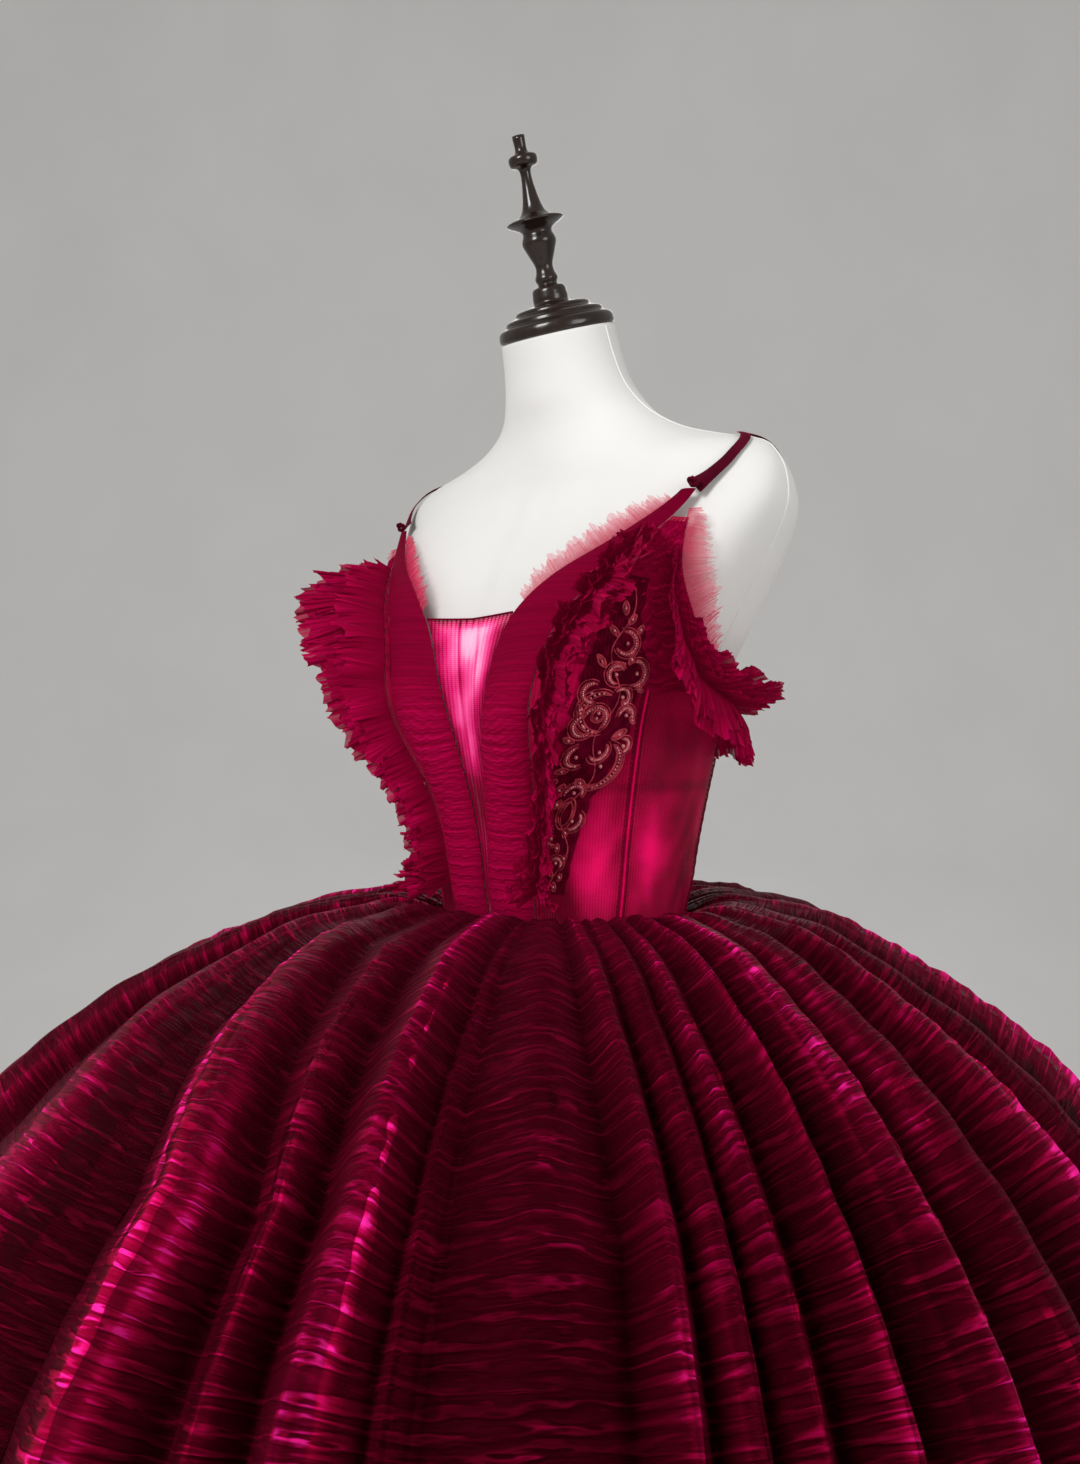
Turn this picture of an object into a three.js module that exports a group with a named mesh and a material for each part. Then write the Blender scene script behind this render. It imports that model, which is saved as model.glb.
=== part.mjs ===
// Ball gown on a limbless dress form: a ruffled, corded bodice over a huge gathered organza skirt.
// Millimetres, +Z up. The gown faces -Y and the wearer's left is +X. The floor is z = 0.
import * as THREE from 'three';

// Driving sizes
const WAIST_HEIGHT = 1040;
const CLOTH = 1.6;
const SEAM_GAP = 0.4;
const FORM_CLEARANCE = 7;
const FORM_BOTTOM = -200;
const FORM_TOP = 510;
const FORM_SIDES = 24;
const NECK_LEAN = 18;
const BODICE_BOTTOM = 1.5;
const SKIRT_ROWS = [0, 0.025, 0.075, 0.15, 0.26, 0.42, 0.68, 1];
const STEPS_A_FOLD = 4;
const POLE_RADIUS = 16;
const BASE_RADIUS = 170;
const BASE_THICKNESS = 12;

const UP = new THREE.Vector3(0, 0, 1);

// The dress form, ring by ring above the waist: half width, depth to front and back of a centre
// line, forward lean of the ring in degrees, and how square its outline is (2 is an ellipse)
const FORM_RINGS = [
  { z: -200, half: 146, front: 102, back: 104, centre: 0, lean: 0, square: 2.1 },
  { z: -120, half: 150, front: 106, back: 108, centre: 0, lean: 0, square: 2.1 },
  { z: -60, half: 128, front: 94, back: 98, centre: 0, lean: 0, square: 2.1 },
  { z: 0, half: 112, front: 85, back: 92, centre: 0, lean: 0, square: 2.1 },
  { z: 36, half: 113, front: 85, back: 92, centre: 0, lean: 0, square: 2.1 },
  { z: 69, half: 117.5, front: 87.5, back: 95.5, centre: 0, lean: 0, square: 2.1 },
  { z: 137, half: 132, front: 99, back: 104, centre: 0, lean: 0, square: 2.15 },
  { z: 175, half: 140, front: 104, back: 110, centre: 1, lean: 0, square: 2.2 },
  { z: 215, half: 152, front: 106, back: 119, centre: 4, lean: 0, square: 2.35 },
  { z: 260, half: 172, front: 101, back: 122, centre: 10, lean: 0, square: 2.5 },
  { z: 305, half: 195, front: 84, back: 115, centre: 16, lean: 0, square: 2.7 },
  { z: 342, half: 209, front: 66, back: 103, centre: 22, lean: 0, square: 2.7 },
  { z: 368, half: 208, front: 60, back: 88, centre: 27, lean: 0, square: 2.4 },
  { z: 385, half: 200, front: 62, back: 77, centre: 30, lean: 0, square: 2 },
  { z: 396, half: 187, front: 63, back: 66, centre: 31, lean: 1, square: 1.7 },
  { z: 405, half: 153, front: 62, back: 60, centre: 30, lean: 2, square: 1.65 },
  { z: 416, half: 116, front: 60, back: 53, centre: 28, lean: 4, square: 1.75 },
  { z: 430, half: 88, front: 58, back: 52, centre: 25, lean: 8, square: 1.9 },
  { z: 444, half: 71, front: 56, back: 52, centre: 20, lean: 12, square: 2 },
  { z: 462, half: 60, front: 54, back: 51, centre: 12, lean: 16, square: 2 },
  { z: 486, half: 54, front: 51, back: 50, centre: 4, lean: 18, square: 2 },
  { z: 510, half: 51, front: 50, back: 50, centre: -3, lean: 18, square: 2 },
];
const BUST = { turn: 31, spreadTurn: 21, z: 184, spreadZ: 52, rise: 25 };
// How far the boned cups stand off the upper chest, beyond the usual clearance
const CUP_STAND_OFF = { turn: 30, spreadTurn: 34, z: 262, spreadZ: 52, rise: 15 };

// How much closer the bodice grips the form at the waist
const WAIST_GRIP = { z: 0, spreadZ: 26, drawIn: 5.9 };

// Turned wooden cap and finial: height along the leaning neck axis and radius
const FINIAL_PROFILE = [
  { height: 0, radius: 49.5 }, { height: 3, radius: 51.5 }, { height: 10, radius: 50 },
  { height: 13, radius: 44 }, { height: 17, radius: 42 }, { height: 20, radius: 34 },
  { height: 24, radius: 31 }, { height: 27, radius: 17 }, { height: 33, radius: 15.5 },
  { height: 40, radius: 14 }, { height: 43, radius: 8.5 }, { height: 48, radius: 10 },
  { height: 54, radius: 8 }, { height: 60, radius: 7 }, { height: 70, radius: 13 },
  { height: 79, radius: 14.5 }, { height: 88, radius: 11 }, { height: 94, radius: 23 },
  { height: 97, radius: 24 }, { height: 103, radius: 11 }, { height: 122, radius: 5.8 },
  { height: 138, radius: 5 }, { height: 142, radius: 11.5 }, { height: 149, radius: 12 },
  { height: 153, radius: 5.5 }, { height: 166, radius: 5.5 },
];

// Edges of the bodice, as turns from centre front in degrees at heights above the waist
const NECKLINE = [
  { z: 0, turn: 1 }, { z: 60, turn: 1.6 }, { z: 104, turn: 3 }, { z: 150, turn: 5.5 },
  { z: 184, turn: 8 }, { z: 224, turn: 10.5 }, { z: 247, turn: 13 }, { z: 275, turn: 20 },
  { z: 297, turn: 27.5 }, { z: 320, turn: 35 }, { z: 346, turn: 42.5 },
];
const BAND_OUTER = [
  { z: 0, turn: 22 }, { z: 60, turn: 22.5 }, { z: 104, turn: 23.5 }, { z: 150, turn: 25.5 },
  { z: 184, turn: 26.5 }, { z: 224, turn: 28 }, { z: 247, turn: 30 }, { z: 275, turn: 34.5 },
  { z: 297, turn: 39 }, { z: 320, turn: 44 }, { z: 346, turn: 48 },
];
const ARMHOLE = [
  { z: 208, turn: 118 }, { z: 218, turn: 93 }, { z: 236, turn: 79 }, { z: 264, turn: 66 },
  { z: 286, turn: 57.5 }, { z: 308, turn: 52.5 }, { z: 330, turn: 49.5 }, { z: 346, turn: 48.5 },
];
const BACK_TOP = [
  { turn: 62, z: 273 }, { turn: 66, z: 264 }, { turn: 79, z: 236 }, { turn: 93, z: 218 },
  { turn: 118, z: 208 }, { turn: 150, z: 200 }, { turn: 180, z: 194 },
];
const PRINCESS_SEAM = 62;
const SIDE_SEAM = 118;
const FRONT_PANEL_TOP = 322;
const BAND_TOP = 345;
const MODESTY = { bottom: 96, top: 248, sink: 0.4 };

// The crest line of the skirt: radius and height beside the waist, and the fold depth there
const SKIRT_PROFILE = [
  { radius: 114, z: 0, fold: 0 },
  { radius: 150, z: 14, fold: 0.15 },
  { radius: 190, z: 10, fold: 0.27 },
  { radius: 240, z: 0, fold: 0.42 },
  { radius: 300, z: -27, fold: 0.6 },
  { radius: 350, z: -52, fold: 0.74 },
  { radius: 400, z: -86, fold: 0.86 },
  { radius: 440, z: -120, fold: 0.94 },
  { radius: 475, z: -160, fold: 1 },
  { radius: 510, z: -212, fold: 1.05 },
  { radius: 545, z: -280, fold: 1.1 },
  { radius: 580, z: -360, fold: 1.15 },
  { radius: 630, z: -520, fold: 1.2 },
  { radius: 670, z: -700, fold: 1.25 },
  { radius: 700, z: -880, fold: 1.3 },
  { radius: 715, z: -1025, fold: 1.3 },
];
const FOLD_BASE = 34;
const CREST_SHARPNESS = 1.1;
const FULLER = { turn: -48, share: 0.055 };
const WAIST_SHAPE = { half: 114.5, front: 87.5, back: 94.5, roundBy: 210 };
const FOLD_SETTLES_BY = 430;

// Skirt folds in order round the waist: where each valley starts at the waist, where it lies
// below the hip, how high its crest rises and how far the crest leans, in degrees and mm
const SKIRT_FOLDS = [
  { waist: -34, low: 3, rise: 34, lean: 10 },
  { waist: -10, low: 16, rise: 22, lean: 4 },
  { waist: 10, low: 21.5, rise: 38, lean: 6 },
  { waist: 27, low: 29, rise: 5, lean: 0 },
  { waist: 31, low: 32.5, rise: 24, lean: 0 },
  { waist: 41, low: 46, rise: 27, lean: 5 },
  { waist: 48, low: 51, rise: 22, lean: 3 },
  { waist: 56, low: 55, rise: 24, lean: -4 },
  { waist: 62, low: 59.5, rise: 32, lean: 4 },
  { waist: 71, low: 65, rise: 32, lean: 8 },
  { waist: 83, low: 74, rise: 27, lean: 5 },
  { waist: 94, low: 85, rise: 31, lean: 8 },
  { waist: 106, low: 98, rise: 25, lean: -6 },
  { waist: 118, low: 111, rise: 34, lean: 7 },
  { waist: 131, low: 126, rise: 28, lean: -5 },
  { waist: 143, low: 139, rise: 31, lean: 8 },
  { waist: 155, low: 152, rise: 24, lean: 0 },
  { waist: 166, low: 165, rise: 34, lean: -8 },
  { waist: 178, low: 177, rise: 28, lean: 5 },
  { waist: 190, low: 191, rise: 31, lean: 8 },
  { waist: 202, low: 204, rise: 25, lean: -6 },
  { waist: 214, low: 218, rise: 34, lean: 6 },
  { waist: 226, low: 232, rise: 30, lean: -7 },
  { waist: 239, low: 247, rise: 26, lean: 5 },
  { waist: 251, low: 261, rise: 34, lean: 8 },
  { waist: 263, low: 275, rise: 28, lean: -6 },
  { waist: 276, low: 290, rise: 32, lean: 7 },
  { waist: 288, low: 304, rise: 26, lean: -5 },
  { waist: 300, low: 318, rise: 33, lean: 8 },
  { waist: 312, low: 334, rise: 28, lean: 6 },
];
const GORE_STARTS = [0, 4, 8, 12, 16, 19, 23, 27];
const UNDERSKIRT = { sides: 32, rows: [0.014, 0.075, 0.15, 0.26, 0.42, 0.68, 0.985], inset: 10, top: 2.1 };

// Ruffles: the line where each is gathered, with the reach (away from the bodice) and spread
// (along it) of its two lobes; an inner lobe of negative spread leans the same way as the outer
const FRONT_RUFFLE = [
  { z: 306, turn: 41.7, outerReach: 22, outerSpread: 13, innerReach: 14, innerSpread: 0 },
  { z: 288, turn: 38.9, outerReach: 56, outerSpread: 32, innerReach: 34, innerSpread: -2 },
  { z: 264, turn: 35.5, outerReach: 62, outerSpread: 42, innerReach: 42, innerSpread: -3 },
  { z: 230, turn: 31.5, outerReach: 54, outerSpread: 38, innerReach: 40, innerSpread: -4 },
  { z: 186, turn: 29.8, outerReach: 40, outerSpread: 29, innerReach: 33, innerSpread: -4 },
  { z: 142, turn: 28.4, outerReach: 29, outerSpread: 21, innerReach: 26, innerSpread: -3 },
  { z: 92, turn: 26.3, outerReach: 26, outerSpread: 17, innerReach: 24, innerSpread: 0 },
  { z: 50, turn: 25, outerReach: 30, outerSpread: 18, innerReach: 28, innerSpread: 6 },
  { z: 30, turn: 24.5, outerReach: 42, outerSpread: 26, innerReach: 34, innerSpread: 14 },
];
const ARM_RUFFLE = [
  { z: 296, turn: 53.5, outerReach: 12, outerSpread: 4, innerReach: 22, innerSpread: 3 },
  { z: 270, turn: 58, outerReach: 20, outerSpread: 6, innerReach: 40, innerSpread: 10 },
  { z: 236, turn: 69.5, outerReach: 28, outerSpread: 12, innerReach: 44, innerSpread: 26 },
  { z: 207, turn: 84, outerReach: 34, outerSpread: 18, innerReach: 42, innerSpread: 34 },
  { z: 192, turn: 102, outerReach: 36, outerSpread: 20, innerReach: 36, innerSpread: 38 },
  { z: 186, turn: 122, outerReach: 36, outerSpread: 20, innerReach: 32, innerSpread: 38 },
  { z: 182, turn: 146, outerReach: 30, outerSpread: 17, innerReach: 28, innerSpread: 32 },
  { z: 178, turn: 172, outerReach: 24, outerSpread: 12, innerReach: 22, innerSpread: 24 },
];
const FRONT_RUFFLE_WAVES = 12;
const ARM_RUFFLE_WAVES = 8;
const STEPS_A_WAVE = 4;
const FRONT_RUFFLE_LIFT = 2;
const ARM_RUFFLE_LIFT = 1.6;
const WAVE_SHARE = 0.11;
// How high the two lobes stay joined above their gathering line
const ROOT_NOTCH = 3.6;

// Narrow translucent frills that stand beyond the neckline and armhole edges
const NECK_FRILL = { waves: 8, width: -22, depth: 2.4, rows: [
  { z: 262, turn: 16.2 }, { z: 275, turn: 20 }, { z: 297, turn: 27.5 }, { z: 320, turn: 35 },
  { z: 334, turn: 39.2 },
] };
const ARM_FRILL = { waves: 7, width: -24, depth: 2.4, rows: [
  { z: 328, turn: 49.8 }, { z: 308, turn: 52.5 }, { z: 286, turn: 57.5 }, { z: 264, turn: 66 },
  { z: 242, turn: 76 }, { z: 222, turn: 89 },
] };

// Corded lace motif on each front panel: spine, and reach to the centre and side of it
const APPLIQUE = [
  { z: 276, turn: 46, inner: 7, outer: 8 }, { z: 250, turn: 46, inner: 13, outer: 14 },
  { z: 222, turn: 47.5, inner: 20, outer: 24 }, { z: 192, turn: 48.5, inner: 27, outer: 25 },
  { z: 160, turn: 47.5, inner: 30, outer: 24 }, { z: 132, turn: 43.5, inner: 24, outer: 20 },
  { z: 102, turn: 38, inner: 13, outer: 14 }, { z: 66, turn: 34, inner: 10, outer: 12 },
  { z: 30, turn: 32, inner: 7, outer: 8 },
];
const APPLIQUE_STEPS = 18;
const APPLIQUE_SCALLOPS = 7;
const CASING = { half: 4, thickness: 1.2, rows: 8, frontTop: 196, sideTop: 140 };

// Shoulder strap: turns and heights over the shoulder from the front band to the back edge
const STRAP = [
  { turn: 46.2, z: 348.5, half: 9 }, { turn: 51, z: 358, half: 6 }, { turn: 58, z: 371, half: 4.8 },
  { turn: 66, z: 384, half: 4.4 }, { turn: 76, z: 396, half: 4.2 }, { turn: 90, z: 401, half: 4.2 },
  { turn: 104, z: 395, half: 4.2 }, { turn: 115, z: 380, half: 4.2 }, { turn: 122, z: 358, half: 4.2 },
  { turn: 128, z: 326, half: 4.4 }, { turn: 134, z: 290, half: 4.6 }, { turn: 140, z: 250, half: 5 },
  { turn: 145, z: 205, half: 6 },
];
const STRAP_STEPS = 22;
const STRAP_LIFT = 2.4;
const KNOT = { turn: 46.6, z: 348.5, radius: 5.5, lift: 4.9 };

// Colours of the pieces
const FINISH = {
  velvet: { color: 0x3d0412, roughness: 0.9, metalness: 0 },
  mesh: { color: 0xb3103f, roughness: 0.6, metalness: 0 },
  net: { color: 0xd65a86, roughness: 0.6, metalness: 0 },
  tulle: { color: 0x7c0a2c, roughness: 0.7, metalness: 0 },
  paleTulle: { color: 0xd87a95, roughness: 0.7, metalness: 0 },
  organza: { color: 0x7a0630, roughness: 0.42, metalness: 0 },
  lining: { color: 0x4a041c, roughness: 0.6, metalness: 0 },
  lace: { color: 0x6e1420, roughness: 0.5, metalness: 0 },
  formCloth: { color: 0xeeece6, roughness: 0.85, metalness: 0 },
  darkWood: { color: 0x120a07, roughness: 0.25, metalness: 0 },
};

const radians = THREE.MathUtils.degToRad;
const lerp = THREE.MathUtils.lerp;

const bell = (value, middle, spread) => Math.exp(-(((value - middle) / spread) ** 2));

const signedPower = (value, power) => Math.sign(value) * Math.abs(value) ** power;

// Smooth value of a column between table rows, with the end rows held beyond the table
function tableValue(rows, key, at, column) {
  const rising = rows[rows.length - 1][key] > rows[0][key];
  const ordered = rising ? rows : [...rows].reverse();
  const last = ordered.length - 1;
  if (at <= ordered[0][key]) return ordered[0][column];
  if (at >= ordered[last][key]) return ordered[last][column];
  let k = 0;
  while (at > ordered[k + 1][key]) k += 1;
  const slope = (i) => {
    const a = ordered[Math.max(i - 1, 0)];
    const b = ordered[Math.min(i + 1, last)];
    return (b[column] - a[column]) / (b[key] - a[key]);
  };
  const width = ordered[k + 1][key] - ordered[k][key];
  const t = (at - ordered[k][key]) / width;
  const t2 = t * t;
  const t3 = t2 * t;
  return ordered[k][column] * (2 * t3 - 3 * t2 + 1) + slope(k) * width * (t3 - 2 * t2 + t)
    + ordered[k + 1][column] * (3 * t2 - 2 * t3) + slope(k + 1) * width * (t3 - t2);
}

// A row of every column, part of the way along a table
function rowAlong(rows, share) {
  const numbered = rows.map((row, index) => ({ ...row, index }));
  const at = share * (rows.length - 1);
  const columns = Object.keys(rows[0]);
  return Object.fromEntries(columns.map((name) => [name, tableValue(numbered, 'index', at, name)]));
}

// A point of the dress form's surface, turn in degrees from centre front towards +X
function formPoint(turn, z) {
  const ring = (column) => tableValue(FORM_RINGS, 'z', z, column);
  const side = Math.sin(radians(turn));
  const face = Math.cos(radians(turn));
  const power = 2 / ring('square');
  const depth = face > 0 ? ring('front') : ring('back');
  const wrapped = Math.abs(THREE.MathUtils.euclideanModulo(turn + 180, 360) - 180);
  const bust = BUST.rise * bell(wrapped, BUST.turn, BUST.spreadTurn) * bell(z, BUST.z, BUST.spreadZ);
  const x = ring('half') * signedPower(side, power) + 0.6 * bust * side;
  const y = -depth * signedPower(face, power) - bust * Math.abs(face);
  const lean = radians(ring('lean'));
  return new THREE.Vector3(
    x,
    ring('centre') + y * Math.cos(lean),
    WAIST_HEIGHT + z + y * Math.sin(lean),
  );
}

// Unit normal of a surface given as a function of turn and height, facing away from the body
function surfaceNormal(surface, turn, z) {
  const across = surface(turn + 0.5, z).sub(surface(turn - 0.5, z));
  const upward = surface(turn, z + 1).sub(surface(turn, z - 1));
  return across.cross(upward).normalize();
}

// The outside of the bodice cloth
function bodiceSkin(turn, z) {
  const wrapped = Math.abs(turn);
  const cup = CUP_STAND_OFF;
  const standOff = cup.rise * bell(wrapped, cup.turn, cup.spreadTurn) * bell(z, cup.z, cup.spreadZ);
  const grip = WAIST_GRIP.drawIn * bell(z, WAIST_GRIP.z, WAIST_GRIP.spreadZ);
  const normal = surfaceNormal(formPoint, turn, z);
  return formPoint(turn, z)
    .addScaledVector(normal, FORM_CLEARANCE + CLOTH + standOff - grip);
}

function bodicePoint(turn, z, lift = 0) {
  if (lift === 0) return bodiceSkin(turn, z);
  return bodiceSkin(turn, z).addScaledVector(surfaceNormal(bodiceSkin, turn, z), lift);
}

// Closed wall between two grids of points; a ring's last column joins its first
function wallGeometry(outer, inner, isRing = false) {
  const rows = outer.length;
  const columns = outer[0].length;
  const points = [...outer.flat(), ...inner.flat()];
  const half = rows * columns;
  const at = (row, column, side) => side * half + row * columns + (column % columns);
  const faces = [];
  const quad = (a, b, c, d) => faces.push([a, b, c], [a, c, d]);
  const spans = isRing ? columns : columns - 1;
  for (let row = 0; row < rows - 1; row += 1) {
    for (let column = 0; column < spans; column += 1) {
      quad(at(row, column, 0), at(row, column + 1, 0), at(row + 1, column + 1, 0), at(row + 1, column, 0));
      quad(at(row, column, 1), at(row + 1, column, 1), at(row + 1, column + 1, 1), at(row, column + 1, 1));
    }
  }
  for (let column = 0; column < spans; column += 1) {
    quad(at(0, column, 1), at(0, column + 1, 1), at(0, column + 1, 0), at(0, column, 0));
    const top = rows - 1;
    quad(at(top, column, 0), at(top, column + 1, 0), at(top, column + 1, 1), at(top, column, 1));
  }
  if (!isRing) {
    for (let row = 0; row < rows - 1; row += 1) {
      const end = columns - 1;
      quad(at(row, 0, 0), at(row + 1, 0, 0), at(row + 1, 0, 1), at(row, 0, 1));
      quad(at(row, end, 1), at(row + 1, end, 1), at(row + 1, end, 0), at(row, end, 0));
    }
  }
  return solidGeometry(points, faces);
}

// Geometry of a closed body, turned inside out if its faces point in
function solidGeometry(points, faces) {
  const volume = faces.reduce((sum, [a, b, c]) => (
    sum + points[a].dot(points[b].clone().cross(points[c]))
  ), 0);
  const outward = volume > 0 ? faces : faces.map(([a, b, c]) => [a, c, b]);
  const geometry = new THREE.BufferGeometry();
  geometry.setAttribute('position', new THREE.Float32BufferAttribute(
    points.flatMap((point) => point.toArray()),
    3,
  ));
  geometry.setIndex(outward.flat());
  return geometry;
}

const fractions = (steps) => Array.from({ length: steps + 1 }, (_, index) => index / steps);

function piece(name, geometry, finish) {
  const mesh = new THREE.Mesh(geometry, new THREE.MeshStandardMaterial(FINISH[finish]));
  mesh.name = name;
  return mesh;
}

// The same piece for the other side of the body
function mirrored(point) {
  return new THREE.Vector3(-point.x, point.y, point.z);
}

function bothSides(name, outer, inner, finish) {
  const flip = (grid) => grid.map((row) => row.map(mirrored));
  return [
    piece(`${name}_left`, wallGeometry(outer, inner), finish),
    piece(`${name}_right`, wallGeometry(flip(outer), flip(inner)), finish),
  ];
}

// The solid dress form, closed by a flat cut at the hip and a leaning cut at the neck
function dressForm() {
  const heights = [-200, -160, -120, -60, 0, 36, 69, 105, 137, 165, 190, 215, 245, 275, 305, 342,
    368, 385, 396, 405, 416, 430, 444, 462, 486, 510];
  const points = heights.flatMap((z) => (
    fractions(FORM_SIDES).slice(0, FORM_SIDES).map((share) => formPoint(360 * share, z))
  ));
  const faces = [];
  heights.slice(0, -1).forEach((_, row) => {
    for (let side = 0; side < FORM_SIDES; side += 1) {
      const next = (side + 1) % FORM_SIDES;
      const low = row * FORM_SIDES;
      const high = low + FORM_SIDES;
      faces.push([low + side, low + next, high + next], [low + side, high + next, high + side]);
    }
  });
  const centre = (z) => new THREE.Vector3(
    0,
    tableValue(FORM_RINGS, 'z', z, 'centre'),
    WAIST_HEIGHT + z,
  );
  points.push(centre(FORM_BOTTOM), centre(FORM_TOP));
  const bottom = points.length - 2;
  const top = bottom + 1;
  const lastRing = (heights.length - 1) * FORM_SIDES;
  for (let side = 0; side < FORM_SIDES; side += 1) {
    const next = (side + 1) % FORM_SIDES;
    faces.push([bottom, next, side], [top, lastRing + side, lastRing + next]);
  }
  return piece('form_torso', solidGeometry(points, faces), 'formCloth');
}

// A turned piece along +Z, from its heights and radii
function turned(profile, sides) {
  const outline = profile.map(({ radius, height }) => new THREE.Vector2(radius, height));
  const first = new THREE.Vector2(0, profile[0].height);
  const last = new THREE.Vector2(0, profile[profile.length - 1].height);
  const geometry = new THREE.LatheGeometry([first, ...outline, last], sides);
  return geometry.rotateX(Math.PI / 2);
}

function neckFinial() {
  const mesh = piece('neck_finial', turned(FINIAL_PROFILE, 14), 'darkWood');
  const lean = radians(NECK_LEAN);
  const seat = new THREE.Vector3(
    0,
    tableValue(FORM_RINGS, 'z', FORM_TOP, 'centre'),
    WAIST_HEIGHT + FORM_TOP,
  );
  mesh.rotation.x = lean;
  mesh.position.copy(seat).add(new THREE.Vector3(0, -Math.sin(lean), Math.cos(lean)).multiplyScalar(0.3));
  return mesh;
}

function stand() {
  const formUnderside = WAIST_HEIGHT + FORM_BOTTOM;
  const pole = [
    { height: BASE_THICKNESS + 0.3, radius: 26 },
    { height: BASE_THICKNESS + 22, radius: 24 },
    { height: BASE_THICKNESS + 30, radius: POLE_RADIUS },
    { height: formUnderside - 30, radius: POLE_RADIUS },
    { height: formUnderside - 22, radius: 30 },
    { height: formUnderside - 0.3, radius: 34 },
  ];
  const base = [
    { height: 0, radius: BASE_RADIUS },
    { height: BASE_THICKNESS - 4, radius: BASE_RADIUS },
    { height: BASE_THICKNESS, radius: BASE_RADIUS - 6 },
  ];
  return [
    piece('stand_pole', turned(pole, 16), 'darkWood'),
    piece('stand_base', turned(base, 32), 'darkWood'),
  ];
}

// Degrees that a small width takes up round the bodice
function turnOf(width, turn, z) {
  return width / bodiceSkin(turn + 0.5, z).distanceTo(bodiceSkin(turn - 0.5, z));
}

// A bodice panel from a map of its two shares to a turn and height, as thick as the cloth
function panelGrids(rowShares, columnShares, place, lift = 0, thickness = CLOTH) {
  const grid = (depth) => rowShares.map((v) => columnShares.map((u) => {
    const { turn, z } = place(u, v);
    return bodicePoint(turn, z, depth);
  }));
  return [grid(lift), grid(lift - thickness)];
}

const BODICE_ROWS = fractions(9);

function frontPanel() {
  const seamTop = tableValue(BACK_TOP, 'turn', PRINCESS_SEAM, 'z');
  const heights = BODICE_ROWS.map((v) => lerp(BODICE_BOTTOM, seamTop, v));
  heights.push(lerp(seamTop, FRONT_PANEL_TOP, 0.5), FRONT_PANEL_TOP);
  const place = (u, row) => {
    const z = heights[row];
    const from = tableValue(BAND_OUTER, 'z', z, 'turn');
    const to = z > seamTop ? tableValue(ARMHOLE, 'z', z, 'turn') : PRINCESS_SEAM;
    const gap = turnOf(SEAM_GAP / 2, to, z);
    return { turn: lerp(from + gap, to - gap, u), z };
  };
  const [outer, inner] = panelGrids(heights.keys().toArray(), fractions(6), place);
  return bothSides('front_panel', outer, inner, 'mesh');
}

function roundPanel(name, from, to, columns) {
  const place = (u, v) => {
    const along = lerp(from, to, u);
    const z = lerp(BODICE_BOTTOM, tableValue(BACK_TOP, 'turn', along, 'z'), v);
    const gap = turnOf(SEAM_GAP / 2, along, z);
    return { turn: lerp(from + gap, to - gap, u), z };
  };
  const [outer, inner] = panelGrids(BODICE_ROWS, fractions(columns), place);
  return bothSides(name, outer, inner, 'mesh');
}

function modestyPanel() {
  const place = (u, v) => {
    const z = lerp(MODESTY.bottom, MODESTY.top, v);
    const edge = tableValue(NECKLINE, 'z', z, 'turn');
    const gap = turnOf(SEAM_GAP, edge, z);
    return { turn: lerp(-edge + gap, edge - gap, u), z };
  };
  const [outer, inner] = panelGrids(fractions(6), fractions(4), place, -MODESTY.sink);
  return piece('modesty_panel', wallGeometry(outer, inner), 'net');
}

// Neckline band: smooth above the bust, and puffed and ruched in small ribs below it
function necklineBand() {
  const ribs = 16;
  const ribTop = 196;
  const heights = fractions(ribs).map((v) => lerp(BODICE_BOTTOM, ribTop, v));
  heights.push(222, 247, 272, 297, 321, BAND_TOP);
  const lifts = [0, 0.75, 1, 0.65, 0];
  const grid = (isOuter) => heights.map((z, row) => lifts.map((share, column) => {
    const u = column / (lifts.length - 1);
    const from = tableValue(NECKLINE, 'z', z, 'turn');
    const to = tableValue(BAND_OUTER, 'z', z, 'turn');
    const gap = turnOf(SEAM_GAP, from, z);
    const puff = 9 * THREE.MathUtils.clamp(Math.min((ribTop - z) / 30, (z - 4) / 20), 0, 1);
    const rib = row % 2 === 0 ? 1 : 0.68;
    const lift = isOuter ? Math.min(0.6, z / 20) + share * puff * rib : -CLOTH;
    return bodicePoint(lerp(from + gap, to - gap, u), z, lift);
  }));
  return bothSides('neckline_band', grid(true), grid(false), 'velvet');
}

// Frame on the bodice at a share of a line: place, direction along, outward and across it
function lineFrame(rows, share, lift) {
  const here = rowAlong(rows, share);
  const step = 0.004;
  const ahead = rowAlong(rows, Math.min(share + step, 1));
  const behind = rowAlong(rows, Math.max(share - step, 0));
  const along = bodicePoint(ahead.turn, ahead.z).sub(bodicePoint(behind.turn, behind.z)).normalize();
  const outward = surfaceNormal(bodiceSkin, here.turn, here.z);
  const across = along.clone().cross(outward).normalize();
  return { here, along, outward, across, root: bodicePoint(here.turn, here.z, lift) };
}

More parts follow.
